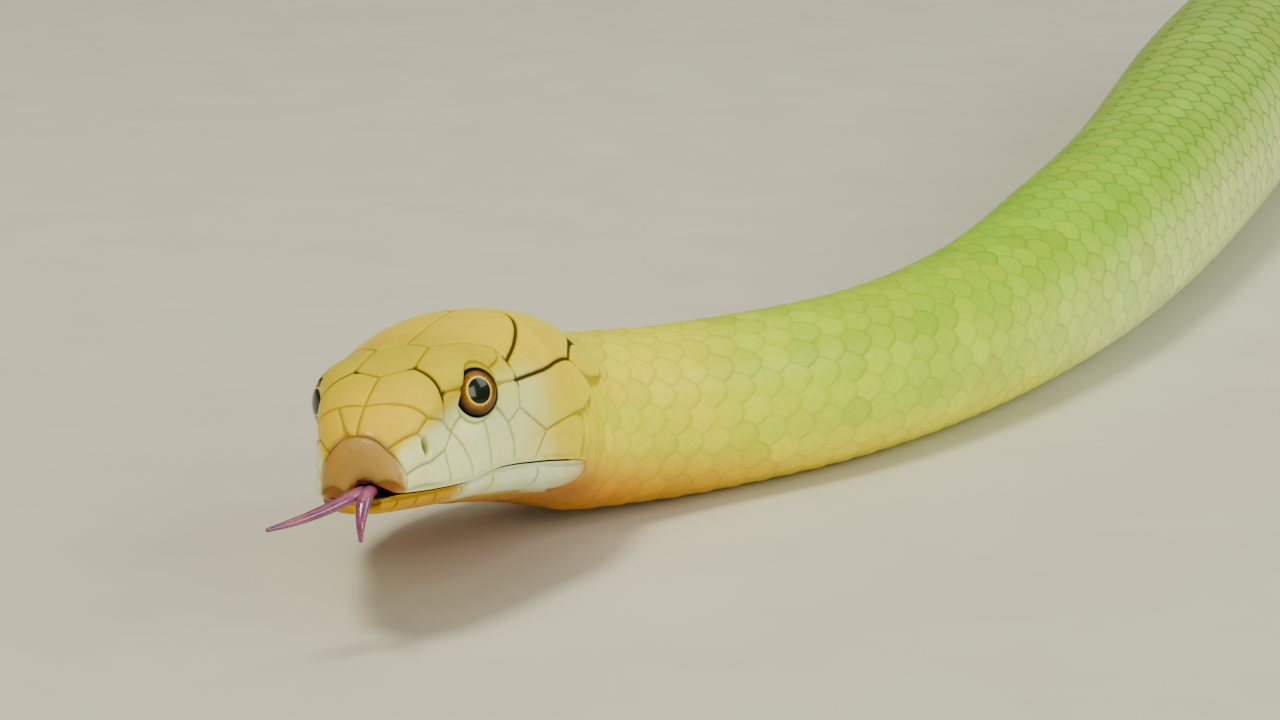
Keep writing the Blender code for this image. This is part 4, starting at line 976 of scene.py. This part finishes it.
def head_net():
    """The upper side of the head, with sockets and nostrils, round to the throat at its rear."""
    net = Net()
    edge = list(zip(LIP_STEPS, surface.side_girth(LIP_STEPS, False)))
    top, low = (surface.side_girth(MOUTH_U, under) for under in (False, True))
    edge += [(MOUTH_U, top + t * low) for t in np.linspace(0, 1, SIDE_STEPS // 2 + 1)[1:]]
    edge += [(u, surface.half_girth(u)) for u in np.linspace(MOUTH_U, HEAD_U, 12)[1:]]
    top, low = (surface.side_girth(HEAD_U, under) for under in (False, True))
    rear = [(HEAD_U, q * top if q <= 1 else top + (q - 1) * low)
            for q in np.linspace(2, 0, SIDE_STEPS + 1)[1:]]
    ids = net.loop(both_sides(edge, rear), 0.0)
    holes = [(spot_of(EYE_AT, side), SOCKET_RADIUS + SOCKET_RIM) for side in (1, -1)]
    shields = outlines(False, MIDDLE_SHIELDS, SIDE_SHIELDS, ODD_SHIELDS)
    lay_shields(net, False, list(shields.values()), holes)
    for side in (1, -1):
        add_socket(net, side)
        add_nostril(net, side)
    for u in np.arange(MOUTH_U + 2, HEAD_U - 1, 2.5):
        reach = float(surface.half_girth(u))
        for y in np.arange(-reach + 1.5, reach - 1, 2.5):
            spot = np.array([[u, y]])
            if not any(inside(spot, p)[0] or away(spot, p)[0] < 0.8 for p in shields.values()
                       if abs(p[:, 0].mean() - u) < 30):
                net.add(spot[0], 0.0)
    return net_mesh(net, ids, False)


def jaw_net():
    """The jaw, from its tip to the corners of the mouth."""
    net = Net()
    edge = list(zip(LIP_STEPS, surface.side_girth(LIP_STEPS, True)))
    rear = [(MOUTH_U, t * edge[-1][1]) for t in np.linspace(1, 0, SIDE_STEPS // 2 + 1)[1:]]
    ids = net.loop(both_sides(edge, rear), 0.0)
    shields = outlines(True, JAW_MIDDLE_SHIELDS, JAW_SIDE_SHIELDS, {})
    lay_shields(net, True, list(shields.values()), [])
    return net_mesh(net, ids, True)


def body_net():
    """The skin under the scales, from the nape to the tip of the tail."""
    rows = list(np.arange(HEAD_U, LENGTH / MM + NOSE - 6, 7.0))
    rows += [LENGTH / MM + NOSE - 2.5, LENGTH / MM + NOSE - 0.6]
    half = np.linspace(0, 2, SIDE_STEPS + 1)
    around = np.concatenate([half, -half[-2:0:-1]])
    u, q = np.meshgrid(rows, around, indexing="ij")
    lift = -np.minimum(sunk(u, q), 0.25 * surface.half_girth(u) / 3.2)
    lift[-1] -= 0.4
    points = surface.world(surface.straight(u, q, lift)).reshape(-1, 3)
    count = len(around)
    faces = turned_over(tube_cells(len(rows), count))
    faces.append(tuple((len(rows) - 1) * count + j for j in range(count)))
    return points, faces, np.stack([u.ravel(), q.ravel(), np.zeros(u.size)], 1)


# strips of body on the map of the skin
STRIPS = 12


def skin_unwrap(u, q):
    """The head in the upper half of the map and the body in strips in the lower half."""
    share = np.where(q < 0, -1, 1) * surface.share(u, q)
    head = np.stack([0.02 + u / HEAD_U * 0.96, 0.76 + share * 0.22], 1)
    length = LENGTH / MM / STRIPS
    strip = np.floor(np.maximum(u - HEAD_U - 0.01, 0) / length)
    body = np.stack([0.02 + (np.maximum(u - HEAD_U, 0) / length - strip) * 0.96,
                     0.02 + (strip + 0.5 + 0.42 * share) / (STRIPS + 1) * 0.5], 1)
    return np.where((u <= HEAD_U + 1e-6)[:, None], head, body)


def build_skin():
    points, faces, values = welded([head_net(), jaw_net(), body_net()])
    u, q, dark = values.T
    tone = head_tone(u, q)
    under = ease(u - along(np.abs(q), REAR_LINE), 0, 4)
    tone = towards(tone, tone * light(150, 150, 130), 0.4 * under)
    tone = towards(tone, SEAM_TONE, np.clip(dark, 0, 1) * 0.85)
    tone = towards(tone, DEEP_SEAM, np.clip((dark - 0.7) / 0.3, 0, 1) * 0.8)
    # painted shade in the pits of the nostrils
    tone = towards(tone, NOSTRIL_SHADE, np.clip((dark - 1) / 0.5, 0, 1))
    skin = object_of("skin", points, faces, tone, sharp=60)
    add_value(skin.data, "gloss", 1 - np.clip(1.3 * dark + under, 0, 1))
    add_unwrap(skin.data, skin_unwrap(u, q))
    return skin


# scales

# where the first row begins over the skin; the length of a row by the body's radius, what is
# added to it, and what the tail adds
FIRST_ROW = 56.0
ROW_BY_RADIUS, ROW_MORE, ROW_TAIL = 0.39, 0.3, 0.5


def lattice():
    """Distances over the skin at which the rows of scales and belly scutes begin."""
    edges = [FIRST_ROW]
    while edges[-1] < LENGTH / MM + NOSE - 2.5:
        s = (edges[-1] - NOSE) * MM
        radius = float(along(s, GIRTH)) / MM
        tail = float(ease(s, VENT - 0.1, VENT + 0.1))
        edges.append(edges[-1] + ROW_BY_RADIUS * radius + ROW_MORE + ROW_TAIL * tail)
    return np.array(edges)


# how many rows of scales lie over the back and sides from each distance on, in metres
ROWS = [(0, 17), (0.36, 15), (2.50, 13), (2.62, 11), (2.78, 9), (2.92, 7), (3.04, 5), (3.13, 3)]
# where the first belly scute begins, over the skin from the snout, in millimetres, and where
# the rows under the throat end before it, one after another
FIRST_SCUTE = 82.0
THROAT_END, THROAT_STEP = 79, 4
SCALE_SIDES = 14
SCALE_RINGS = (0.42, 0.74, 0.93, 1.0)
# the power of a scale's outline, and its length and width by the space it has
SCALE_POWER = 1.55
SCALE_FILL = 0.79
# a scale in millimetres on the thickest body: how far its middle is sunk, how far it rises
# to the rear, its dome, the fall of its rim and its thickness
SCALE_SINK, SCALE_RISE, SCALE_DOME, SCALE_RIM, SCALE_THICK = 0.36, 0.33, 0.10, 0.10, 0.24
# the rows of points of a scute from front to rear, and its heights as of a scale, with the
# fall of its two ends before its thickness
SCUTE_ROWS = (0.0, 0.5, 0.86, 0.97, 1.0)
SCUTE_SINK, SCUTE_RISE, SCUTE_RIM, SCUTE_ENDS, SCUTE_THICK = 0.62, 0.57, 0.05, 0.25, 0.22


def scale_places(edges):
    """Distance, share of the way round, half length and half width of every scale."""
    found = []
    top = len(edges) - 1
    for (start, rows), (end, _) in zip(ROWS, ROWS[1:] + [(9, 0)]):
        spacing = 2 * FLANK / rows
        reach = (rows - 1) // 2
        for j in range(-reach - 5, reach + 6):
            for k in range(len(edges) - 1):
                at = k + 0.5 * (abs(j) % 2)
                u = float(np.interp(at, np.arange(top + 1), edges))
                s = (u - NOSE) * MM
                pitch = edges[k + 1] - edges[k]
                if not start - 0.5 * pitch * MM <= s < end or abs(j) * spacing > 1:
                    continue
                if abs(j) > reach and u > THROAT_END + THROAT_STEP * (abs(j) - reach):
                    continue
                q = abs(float(surface.part(u, j * spacing)))
                if u < float(along(q, REAR_LINE)) - 0.5 * pitch:
                    continue
                found.append((u, j * spacing, SCALE_FILL * pitch, SCALE_FILL * spacing))
    return np.array(found)


def one_scale():
    """Along and across positions, ring part and kind for the points of one scale, and faces."""
    cos, sin = ring_spokes(SCALE_SIDES)
    edge = (np.abs(cos) ** SCALE_POWER + np.abs(sin) ** SCALE_POWER) ** (-1 / SCALE_POWER)
    flat = np.ones((SCALE_SIDES, 1))
    # the middle of the top, the rings of the top, the underside's ring and its middle
    table = [[[0.0, 0, 0, 0]]]
    for out, ring, kind in [(part, part, 0) for part in SCALE_RINGS] + [(0.97, 1, 1)]:
        table.append(np.hstack([out * edge * cos, out * edge * sin, ring * flat, kind * flat]))
    x, y, ring, kind = np.concatenate(table + [[[0.0, 0, 0, 1]]]).T
    faces = []
    for j in range(SCALE_SIDES):
        n = (j + 1) % SCALE_SIDES
        faces.append((0, 1 + j, 1 + n))
        for level in range(len(SCALE_RINGS)):
            a = 1 + level * SCALE_SIDES
            b = a + SCALE_SIDES
            faces.append((a + j, b + j, b + n))
            faces.append((a + j, b + n, a + n))
        last = 1 + len(SCALE_RINGS) * SCALE_SIDES
        faces.append((last + j, last + SCALE_SIDES, last + n))
    return x, y, ring, kind, np.array(faces)


def build_scales(name, places, draw):
    """Closed overlapping scales, front ends sunk in the skin and rear edges free."""
    x, y, ring, kind, cells = one_scale()
    count = len(places)
    u0, share0, half_long, half_wide = (column[:, None] for column in places.T)
    u = u0 + x * half_long
    share = share0 + y * half_wide
    share = np.where(np.abs(share) > 1, np.sign(share) * (2 - np.abs(share)), share)
    size = body_size(u0)
    lift = -SCALE_SINK * size + SCALE_RISE * size * x
    lift = lift + SCALE_DOME * size * (1 - ring ** 2) - SCALE_RIM * size * (ring > 0.97)
    lift = np.where(kind > 0, lift - SCALE_THICK * size, lift)
    q = surface.part(u, share)
    points = surface.world(surface.straight(u, q, lift)).reshape(-1, 3)
    points[:, 2] = np.maximum(points[:, 2], 0.0002)
    faces = (cells[None] + (np.arange(count) * len(x))[:, None, None]).reshape(-1, 3)
    # each scale a little lighter or darker, and redder or greener, than the next
    vary = draw.normal(0, 1, (count, 1))
    hue = draw.normal(0, 1, (count, 1))
    tone = body_tone(u, share)
    tone = tone * (1 + 0.05 * vary)[..., None]
    tone[..., 0] *= 1 + 0.04 * hue
    rim = ease(ring, 0.72, 1.0) * np.ones_like(u)
    green = ease((u0 - NOSE) * MM, 0.16, 0.4)
    tone = towards(tone, tone * light(150, 158, 122), rim * (0.25 + 0.6 * green))
    # a painted highlight on the middle of each green scale, towards its rear, left off the lower
    # flank and belly
    painted_sheen = 0.18 * green * bell(x, 0.45, 0.35) * bell(y, 0, 0.4)
    tone = towards(tone, PAINTED_SHEEN_TONE, painted_sheen * (1 - ease(np.abs(share), 0.6, 0.8)))
    scales = object_of(name, points, faces, tone.reshape(-1, 3), sharp=50)
    low, high = places[:, 0].min(), places[:, 0].max()
    place = np.stack([0.03 + 0.94 * (u0 - low) / (high - low) + x * 0.0015,
                      0.5 + 0.46 * share0 + y * 0.0015], -1)
    add_unwrap(scales.data, place.reshape(-1, 2))
    return scales


def rim_cells(rows, count):
    """Quads down from the border of a sheet to the border of the sheet below it."""
    border = list(range(count)) + [a * count + count - 1 for a in range(1, rows)]
    border += [(rows - 1) * count + b for b in range(count - 2, -1, -1)]
    border += [a * count for a in range(rows - 2, 0, -1)]
    down = rows * count
    return [(a, a + down, b + down, b) for a, b in zip(border, border[1:] + border[:1])]


def one_scute(edges, k, low, high, columns, draw):
    """Points, tones, places on the map and faces of one closed plate."""
    pitch = edges[k + 1] - edges[k]
    back, over = np.meshgrid(SCUTE_ROWS, np.linspace(low, high, columns), indexing="ij")
    part = (over - low) / (high - low)
    u = edges[k] - 0.4 * pitch + 1.4 * pitch * back
    u = u - 0.10 * pitch * (1 - np.sin(math.pi * part)) * back
    size = body_size(u)
    lift = size * (-SCUTE_SINK + SCUTE_RISE * back) - SCUTE_RIM * size * (back > 0.98)
    ends = 1 - ease(np.minimum(part, 1 - part), 0.0, 0.12)
    lift = lift - SCUTE_ENDS * size * ends
    share = np.where(over > 1, over - 2, over)
    q = surface.part(u, share)
    both = [surface.straight(u, q, lift - deep * size).reshape(-1, 3)
            for deep in (0, SCUTE_THICK)]
    tone = body_tone(u, np.abs(share)) * (1 + 0.03 * draw.normal())
    tone = (tone * (1 - 0.25 * ease(back, 0.9, 1.0))[..., None]).reshape(-1, 3)
    first = edges[np.searchsorted(edges, FIRST_SCUTE)]
    way = (edges[k] - first) / (edges[-1] - first)
    place = np.stack([0.03 + 0.94 * way + back * 0.0014, 0.1 + 0.8 * part], -1).reshape(-1, 2)
    n, m = u.shape
    cells = sheet_cells(n, m) + rim_cells(n, m) + turned_over(sheet_cells(n, m, n * m))
    # the underside of each plate takes its tone times 0.7, as painted shade
    return (surface.world(np.concatenate(both)), np.concatenate([tone, tone * 0.7]),
            np.concatenate([place, place]), cells)


def build_scutes(name, edges, draw):
    """The broad plates of the belly, and the pairs under the tail."""
    points, tones, spots, faces = [], [], [], []
    start = 0
    edge_part = FLANK - 0.02
    anal = np.searchsorted(edges, VENT / MM + NOSE)
    for k in range(np.searchsorted(edges, FIRST_SCUTE), len(edges) - 1):
        if k > anal:
            plates = [(edge_part, 0.995, 9), (-0.995, -edge_part, 9)]
        else:
            plates = [(edge_part, 2 - edge_part, 17)]
        for low, high, columns in plates:
            more, tone, place, cells = one_scute(edges, k, low, high, columns, draw)
            points.append(more)
            tones.append(tone)
            spots.append(place)
            faces += [tuple(start + i for i in cell) for cell in cells]
            start += len(more)
    points = np.concatenate(points)
    points[:, 2] = np.maximum(points[:, 2], 0.0001)
    scutes = object_of(name, points, faces, np.concatenate(tones), sharp=50)
    add_unwrap(scutes.data, np.concatenate(spots))
    return scutes


# eyes, mouth and tongue

# how far the eyeball reaches back, where the pupil lies from its middle, and how far from
# the pupil the colours of the iris end
EYE_BACK = 2.2
PUPIL_AT = (-0.12, 0.22)
IRIS_REACH = 3.75
TONGUE_SIDES = 20


def build_eye(name, side):
    """An eyeball with a flatter front, and each point's distance from pupil and middle."""
    _, middle, out, back, up = eye_frame(side)
    middle = middle - out * 0.2
    count, levels = 64, 26
    parts = np.sin(np.linspace(0, math.pi / 2, levels))
    rings = [(p, EYE_BULGE * math.sqrt(1 - p * p)) for p in parts]
    parts = np.sin(np.linspace(math.pi / 2, 0, 8))[1:]
    rings += [(p, -EYE_BACK * math.sqrt(max(0, 1 - p * p))) for p in parts]
    cos, sin = ring_spokes(count)
    spoke = cos * back + sin * up
    points = np.concatenate([middle + out * high + EYE_RADIUS * part * spoke
                             for part, high in rings])
    flat = np.concatenate([EYE_RADIUS * part * np.hstack([cos, sin]) for part, _ in rings])
    faces = tube_cells(len(rings), count)
    points, faces, flat = welded([(surface.world(points), faces, flat)])
    eye = object_of(name, points, faces)
    off = flat - PUPIL_AT
    add_value(eye.data, "from_pupil", np.hypot(off[:, 0], off[:, 1] * 0.97))
    add_value(eye.data, "from_middle", np.hypot(flat[:, 0], flat[:, 1]))
    add_unwrap(eye.data, 0.5 + flat / EYE_RADIUS * 0.45)
    return eye


def build_mouth():
    """The roof and floor of the mouth, which meet the lips."""
    t = np.linspace(1, -1, 17)
    parts = []
    for flip, part in ((False, 1.0), (True, 1.000001)):
        grid = []
        for u in LIP_STEPS:
            x, y, z = surface.straight(u, part)
            if flip:
                z = z - 0.3 * float(bell(u, 8, 6)) * (1 - t ** 2)
            else:
                z = z + float(along(u, PALATE)) * (1 - t ** 2) ** 0.5
            grid.append(np.stack([np.full(len(t), x + 0.05), t * y * (1 - 0.004), z], 1))
        grid = np.array(grid)
        n, m = grid.shape[:2]
        faces = [cell[::-1] if flip else cell for cell in sheet_cells(n, m)]
        parts.append((surface.world(grid.reshape(-1, 3)), faces, np.zeros(n * m)))
    points, faces, _ = welded(parts)
    return object_of("mouth_lining", points, faces)


def build_tongue():
    """Two prongs, side by side as far as the fork."""
    prongs = []
    for path in (TONGUE_RIGHT, TONGUE_LEFT):
        path = np.array(path, float)
        run = run_of(path[:, :3])
        at = np.linspace(0, run[-1], 60)
        line = np.stack([along(at, list(zip(run, path[:, k]))) for k in range(4)], 1)
        for k in range(3):
            line[2:-2, k] = np.convolve(line[:, k], np.ones(5) / 5, "valid")
        go = unit(np.gradient(line[:, :3], axis=0))
        side = unit(np.cross(go, (0, 0, 1.0)))
        up = np.cross(side, go)
        cos, sin = ring_spokes(TONGUE_SIDES)
        points = []
        for k, (middle, radius) in enumerate(zip(line[:, :3], line[:, 3])):
            points.append(middle + side[k] * cos * radius * 0.98 + up[k] * sin * radius * 0.78)
        end = line[-1:, :3] + go[-1] * line[-1, 3] * 0.6
        points = np.concatenate(points + [line[:1, :3], end])
        faces = tube_cells(len(line), TONGUE_SIDES)
        count = len(line) * TONGUE_SIDES
        last = count - TONGUE_SIDES
        for j in range(TONGUE_SIDES):
            n = (j + 1) % TONGUE_SIDES
            faces += [(n, j, count), (last + j, last + n, count + 1)]
        prongs.append((surface.world(points), faces))
    (right, cells), (left, more) = prongs
    cells += [tuple(len(right) + i for i in cell) for cell in more]
    return object_of("tongue_skin", np.concatenate([right, left]), cells)


# materials

def material(name):
    made = bpy.data.materials.new(name)
    made.use_nodes = True
    tree = made.node_tree
    return made, tree, tree.nodes["Principled BSDF"]


def settle(node, **values):
    """Sets the node's own inputs, or links those whose value is another node's output."""
    for name, value in values.items():
        socket = node.inputs[name.replace("_", " ")]
        if isinstance(value, bpy.types.NodeSocket):
            node.id_data.links.new(value, socket)
        else:
            socket.default_value = value


def node_of(tree, kind, output, **values):
    node = tree.nodes.new(kind)
    settle(node, **values)
    return node.outputs[output]


def noise(tree, vector, scale, detail=3.0):
    return node_of(tree, "ShaderNodeTexNoise", "Fac", Vector=vector, Scale=scale,
                   Detail=detail, Roughness=0.55)


def remap(tree, value, low, high, to_low, to_high):
    return node_of(tree, "ShaderNodeMapRange", "Result", Value=value, From_Min=low,
                   From_Max=high, To_Min=to_low, To_Max=to_high)


def reckoned(tree, kind, first, second):
    """The sum or product of two outputs."""
    node = tree.nodes.new("ShaderNodeMath")
    node.operation = kind
    tree.links.new(first, node.inputs[0])
    tree.links.new(second, node.inputs[1])
    return node.outputs[0]


def blend_colour(tree, kind, factor, first, second):
    node = tree.nodes.new("ShaderNodeMix")
    node.data_type = "RGBA"
    node.blend_type = kind
    sockets = {s.name: s for s in node.inputs if s.enabled}
    for name, value in (("Factor", factor), ("A", first), ("B", second)):
        socket = sockets[name]
        if isinstance(value, (int, float)):
            socket.default_value = value
        elif isinstance(value, (tuple, np.ndarray)):
            socket.default_value = (*value, 1)
        else:
            tree.links.new(value, socket)
    return next(s for s in node.outputs if s.enabled)


def attribute(tree, name, output="Color"):
    node = tree.nodes.new("ShaderNodeAttribute")
    node.attribute_name = name
    return node.outputs[output]


def bumps(tree, shader, parts):
    """Chains bumps of (height, strength, distance) into the shader's normal."""
    last = {}
    for height, strength, distance in parts:
        last = {"Normal": node_of(tree, "ShaderNodeBump", "Normal", Height=height,
                                  Strength=strength, Distance=distance, **last)}
    settle(shader, **last)


def speckled(tree, where, tint, more):
    """The mesh's own tone, darkened in broad and in fine specks, and the fine noise."""
    fine = noise(tree, where, more[1], 4)
    tone = attribute(tree, "tone")
    broad = remap(tree, noise(tree, where, more[0], 3), 0.45, more[2], 0.0, 0.5)
    tone = blend_colour(tree, "MULTIPLY", broad, tone, tint[0])
    specks = remap(tree, fine, 0.5, 0.75, 0.0, 0.35)
    return blend_colour(tree, "MULTIPLY", specks, tone, tint[1]), fine


def place_of(tree):
    return tree.nodes.new("ShaderNodeTexCoord").outputs["Object"]


def shield_material():
    made, tree, shader = material("shield_skin")
    where = place_of(tree)
    tone, fine = speckled(tree, where, (light(255, 220, 150), light(226, 210, 150)),
                          (120, 900, 0.72))
    gloss = attribute(tree, "gloss", "Fac")
    rough = reckoned(tree, "ADD", remap(tree, fine, 0.3, 0.7, 0.24, 0.34),
                     remap(tree, gloss, 0.0, 1.0, 0.5, 0.0))
    settle(shader, Base_Color=tone, Roughness=rough, Specular_IOR_Level=0.06,
           Coat_Weight=remap(tree, gloss, 0.0, 1.0, 0.0, 0.13), Coat_Roughness=0.16,
           Subsurface_Weight=0.08, Subsurface_Radius=(1.0, 0.8, 0.3), Subsurface_Scale=0.001)
    bumps(tree, shader, [(fine, 0.12, 0.0006), (noise(tree, where, 5200, 3), 0.10, 0.0001)])
    return made


def scale_material(name, rough):
    made, tree, shader = material(name)
    where = place_of(tree)
    tone, fine = speckled(tree, where, (light(232, 236, 170), light(214, 206, 140)),
                          (60, 700, 0.7))
    settle(shader, Base_Color=tone, Specular_IOR_Level=0.08, Coat_Weight=0.14,
           Roughness=remap(tree, fine, 0.3, 0.7, rough - 0.05, rough + 0.08),
           Coat_Roughness=0.18)
    bumps(tree, shader, [(fine, 0.10, 0.0006), (noise(tree, where, 4200, 3), 0.10, 0.0001)])
    return made


# pupil, bright ring and iris, by distance from the middle of the pupil
IRIS_TONES = [
    (0.0, 12, 22, 8), (0.53, 16, 24, 8), (0.55, 40, 30, 8), (0.57, 240, 220, 110),
    (0.61, 244, 216, 90), (0.645, 188, 130, 6), (0.72, 158, 98, 0), (0.84, 112, 64, 0),
    (0.93, 62, 32, 4), (1.0, 30, 16, 4),
]


def ramp_of(tree, value, stops):
    """The value as a colour along (place, red, green, blue), with display values."""
    node = tree.nodes.new("ShaderNodeValToRGB")
    elements = node.color_ramp.elements
    while len(elements) < len(stops):
        elements.new(0.5)
    for element, (at, *tone) in zip(elements, stops):
        element.position = at
        element.color = (*light(*tone), 1)
    settle(node, Fac=value)
    return node.outputs["Color"]


def eye_material():
    made, tree, shader = material("eye_glass")
    where = place_of(tree)
    distance = attribute(tree, "from_pupil", "Fac")
    middle = attribute(tree, "from_middle", "Fac")
    flecks = noise(tree, where, 2600, 4)
    iris = ramp_of(tree, remap(tree, distance, 0.0, IRIS_REACH, 0.0, 1.0), IRIS_TONES)
    outside = remap(tree, distance, 2.25, 2.4, 0.0, 0.7)
    flecked = reckoned(tree, "MULTIPLY", remap(tree, flecks, 0.42, 0.7, 0.0, 1.0), outside)
    tone = blend_colour(tree, "MULTIPLY", flecked, iris, light(120, 90, 60))
    tone = blend_colour(tree, "MIX", remap(tree, middle, 3.45, 3.62, 0.0, 1.0), tone,
                        light(20, 14, 8))
    settle(shader, Base_Color=tone, Roughness=0.3, Specular_IOR_Level=0.1, Coat_Weight=1.0,
           Coat_Roughness=0.02, Coat_IOR=1.33)
    return made


def wet_material(name, first, second, rough):
    made, tree, shader = material(name)
    where = place_of(tree)
    broad = noise(tree, where, 260, 3)
    fine = noise(tree, where, 1500, 4)
    tone = blend_colour(tree, "MIX", remap(tree, broad, 0.35, 0.65, 0.0, 1.0), first, second)
    settle(shader, Base_Color=tone, Coat_Weight=0.9, Coat_Roughness=0.06,
           Roughness=remap(tree, fine, 0.3, 0.7, rough - 0.06, rough + 0.08),
           Subsurface_Weight=0.2, Subsurface_Scale=0.001)
    bumps(tree, shader, [(fine, 0.25, 0.0004)])
    return made


def dressed(obj, look, nodes):
    """Gives the piece its material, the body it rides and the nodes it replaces."""
    obj.data.materials.append(look)
    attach(obj, "root")
    if nodes:
        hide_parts(*nodes)


# the scene

surface = Surface()
draw = np.random.default_rng(5)

# the view of the photograph: focal length and width in pixels, height and downward angle
SENSOR = 36
FOCAL, PICTURE = 3900, 1280
CAMERA_HIGH, CAMERA_DOWN = 0.196, 14
camera = bpy.data.cameras.new("camera")
camera.lens = SENSOR * FOCAL / PICTURE
camera.sensor_width = SENSOR
camera.clip_start = 0.01
viewer = bpy.data.objects.new("camera", camera)
viewer.location = (*SHIFT, CAMERA_HIGH)
viewer.rotation_euler = (math.radians(90 - CAMERA_DOWN), 0, 0)
bpy.context.scene.collection.objects.link(viewer)
bpy.context.scene.camera = viewer

flesh = [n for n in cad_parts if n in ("head", "jaw", "neck") or n[:4] in ("body", "tail")]
skin = build_skin()
dressed(skin, shield_material(), flesh)
scale_look = scale_material("scale_skin", 0.34)
edges = lattice()
places = scale_places(edges)
places = places[np.argsort(places[:, 0])]
for k, chunk in enumerate(np.array_split(places, 5)):
    scales = build_scales(f"scales_{k + 1}", chunk, draw)
    dressed(scales, scale_look, [])
scutes = build_scutes("belly_scutes", edges, draw)
dressed(scutes, scale_material("scute_skin", 0.38), [])
eye_look = eye_material()
for side, node in ((1, "eye_left"), (-1, "eye_right")):
    dressed(build_eye(node + "_ball", side), eye_look, [node])
# the mouth's lining: its own dark red, painted darker still as painted shade inside the mouth
dressed(build_mouth(), wet_material("mouth_wet", light(92, 14, 18), light(56, 6, 12), 0.3), [])
dressed(build_tongue(), wet_material("tongue_wet", light(112, 44, 104), light(150, 74, 116), 0.25),
        ["tongue"])


def plain_floor(far):
    corners = [(-far, -far, 0), (far, -far, 0), (far, far, 0), (-far, far, 0)]
    floor = object_of("floor", corners, [(0, 1, 2, 3)], smooth=False)
    made, tree, shader = material("floor_pale")
    grain = noise(tree, place_of(tree), 40, 3)
    tone = blend_colour(tree, "MIX", remap(tree, grain, 0.3, 0.7, 0.0, 1.0),
                        (0.62, 0.60, 0.56), (0.66, 0.64, 0.60))
    settle(shader, Base_Color=tone, Roughness=0.75)
    floor.data.materials.append(made)


def lamp(name, place, aim, size, power, tint):
    light_ = bpy.data.lights.new(name, "AREA")
    light_.shape = "RECTANGLE"
    light_.size, light_.size_y = size
    light_.energy = power
    light_.color = tint
    obj = bpy.data.objects.new(name, light_)
    obj.location = place
    obj.rotation_euler = (Vector(aim) - Vector(place)).to_track_quat("-Z", "Y").to_euler()
    bpy.context.scene.collection.objects.link(obj)


plain_floor(14)
lamp("key", (-1.0, -0.9, 2.0), (-0.35, -0.1, 0.02), (0.5, 0.5), 38, (1.0, 0.95, 0.66))
lamp("fill", (1.0, -1.9, 0.9), (-0.3, -0.1, 0.02), (1.0, 1.0), 24, (0.97, 1.0, 0.74))
lamp("far", (1.3, -0.3, 1.2), (0.1, 0.15, 0.02), (0.9, 0.9), 14, (0.94, 1.0, 0.90))
lamp("over", (0.1, 0.5, 2.1), (0.0, 0.0, 0.0), (2.2, 2.2), 15, (1.0, 0.97, 0.74))
world = bpy.data.worlds.new("studio")
world.use_nodes = True
settle(world.node_tree.nodes["Background"], Color=(0.90, 0.88, 0.70, 1), Strength=0.2)
bpy.context.scene.world = world
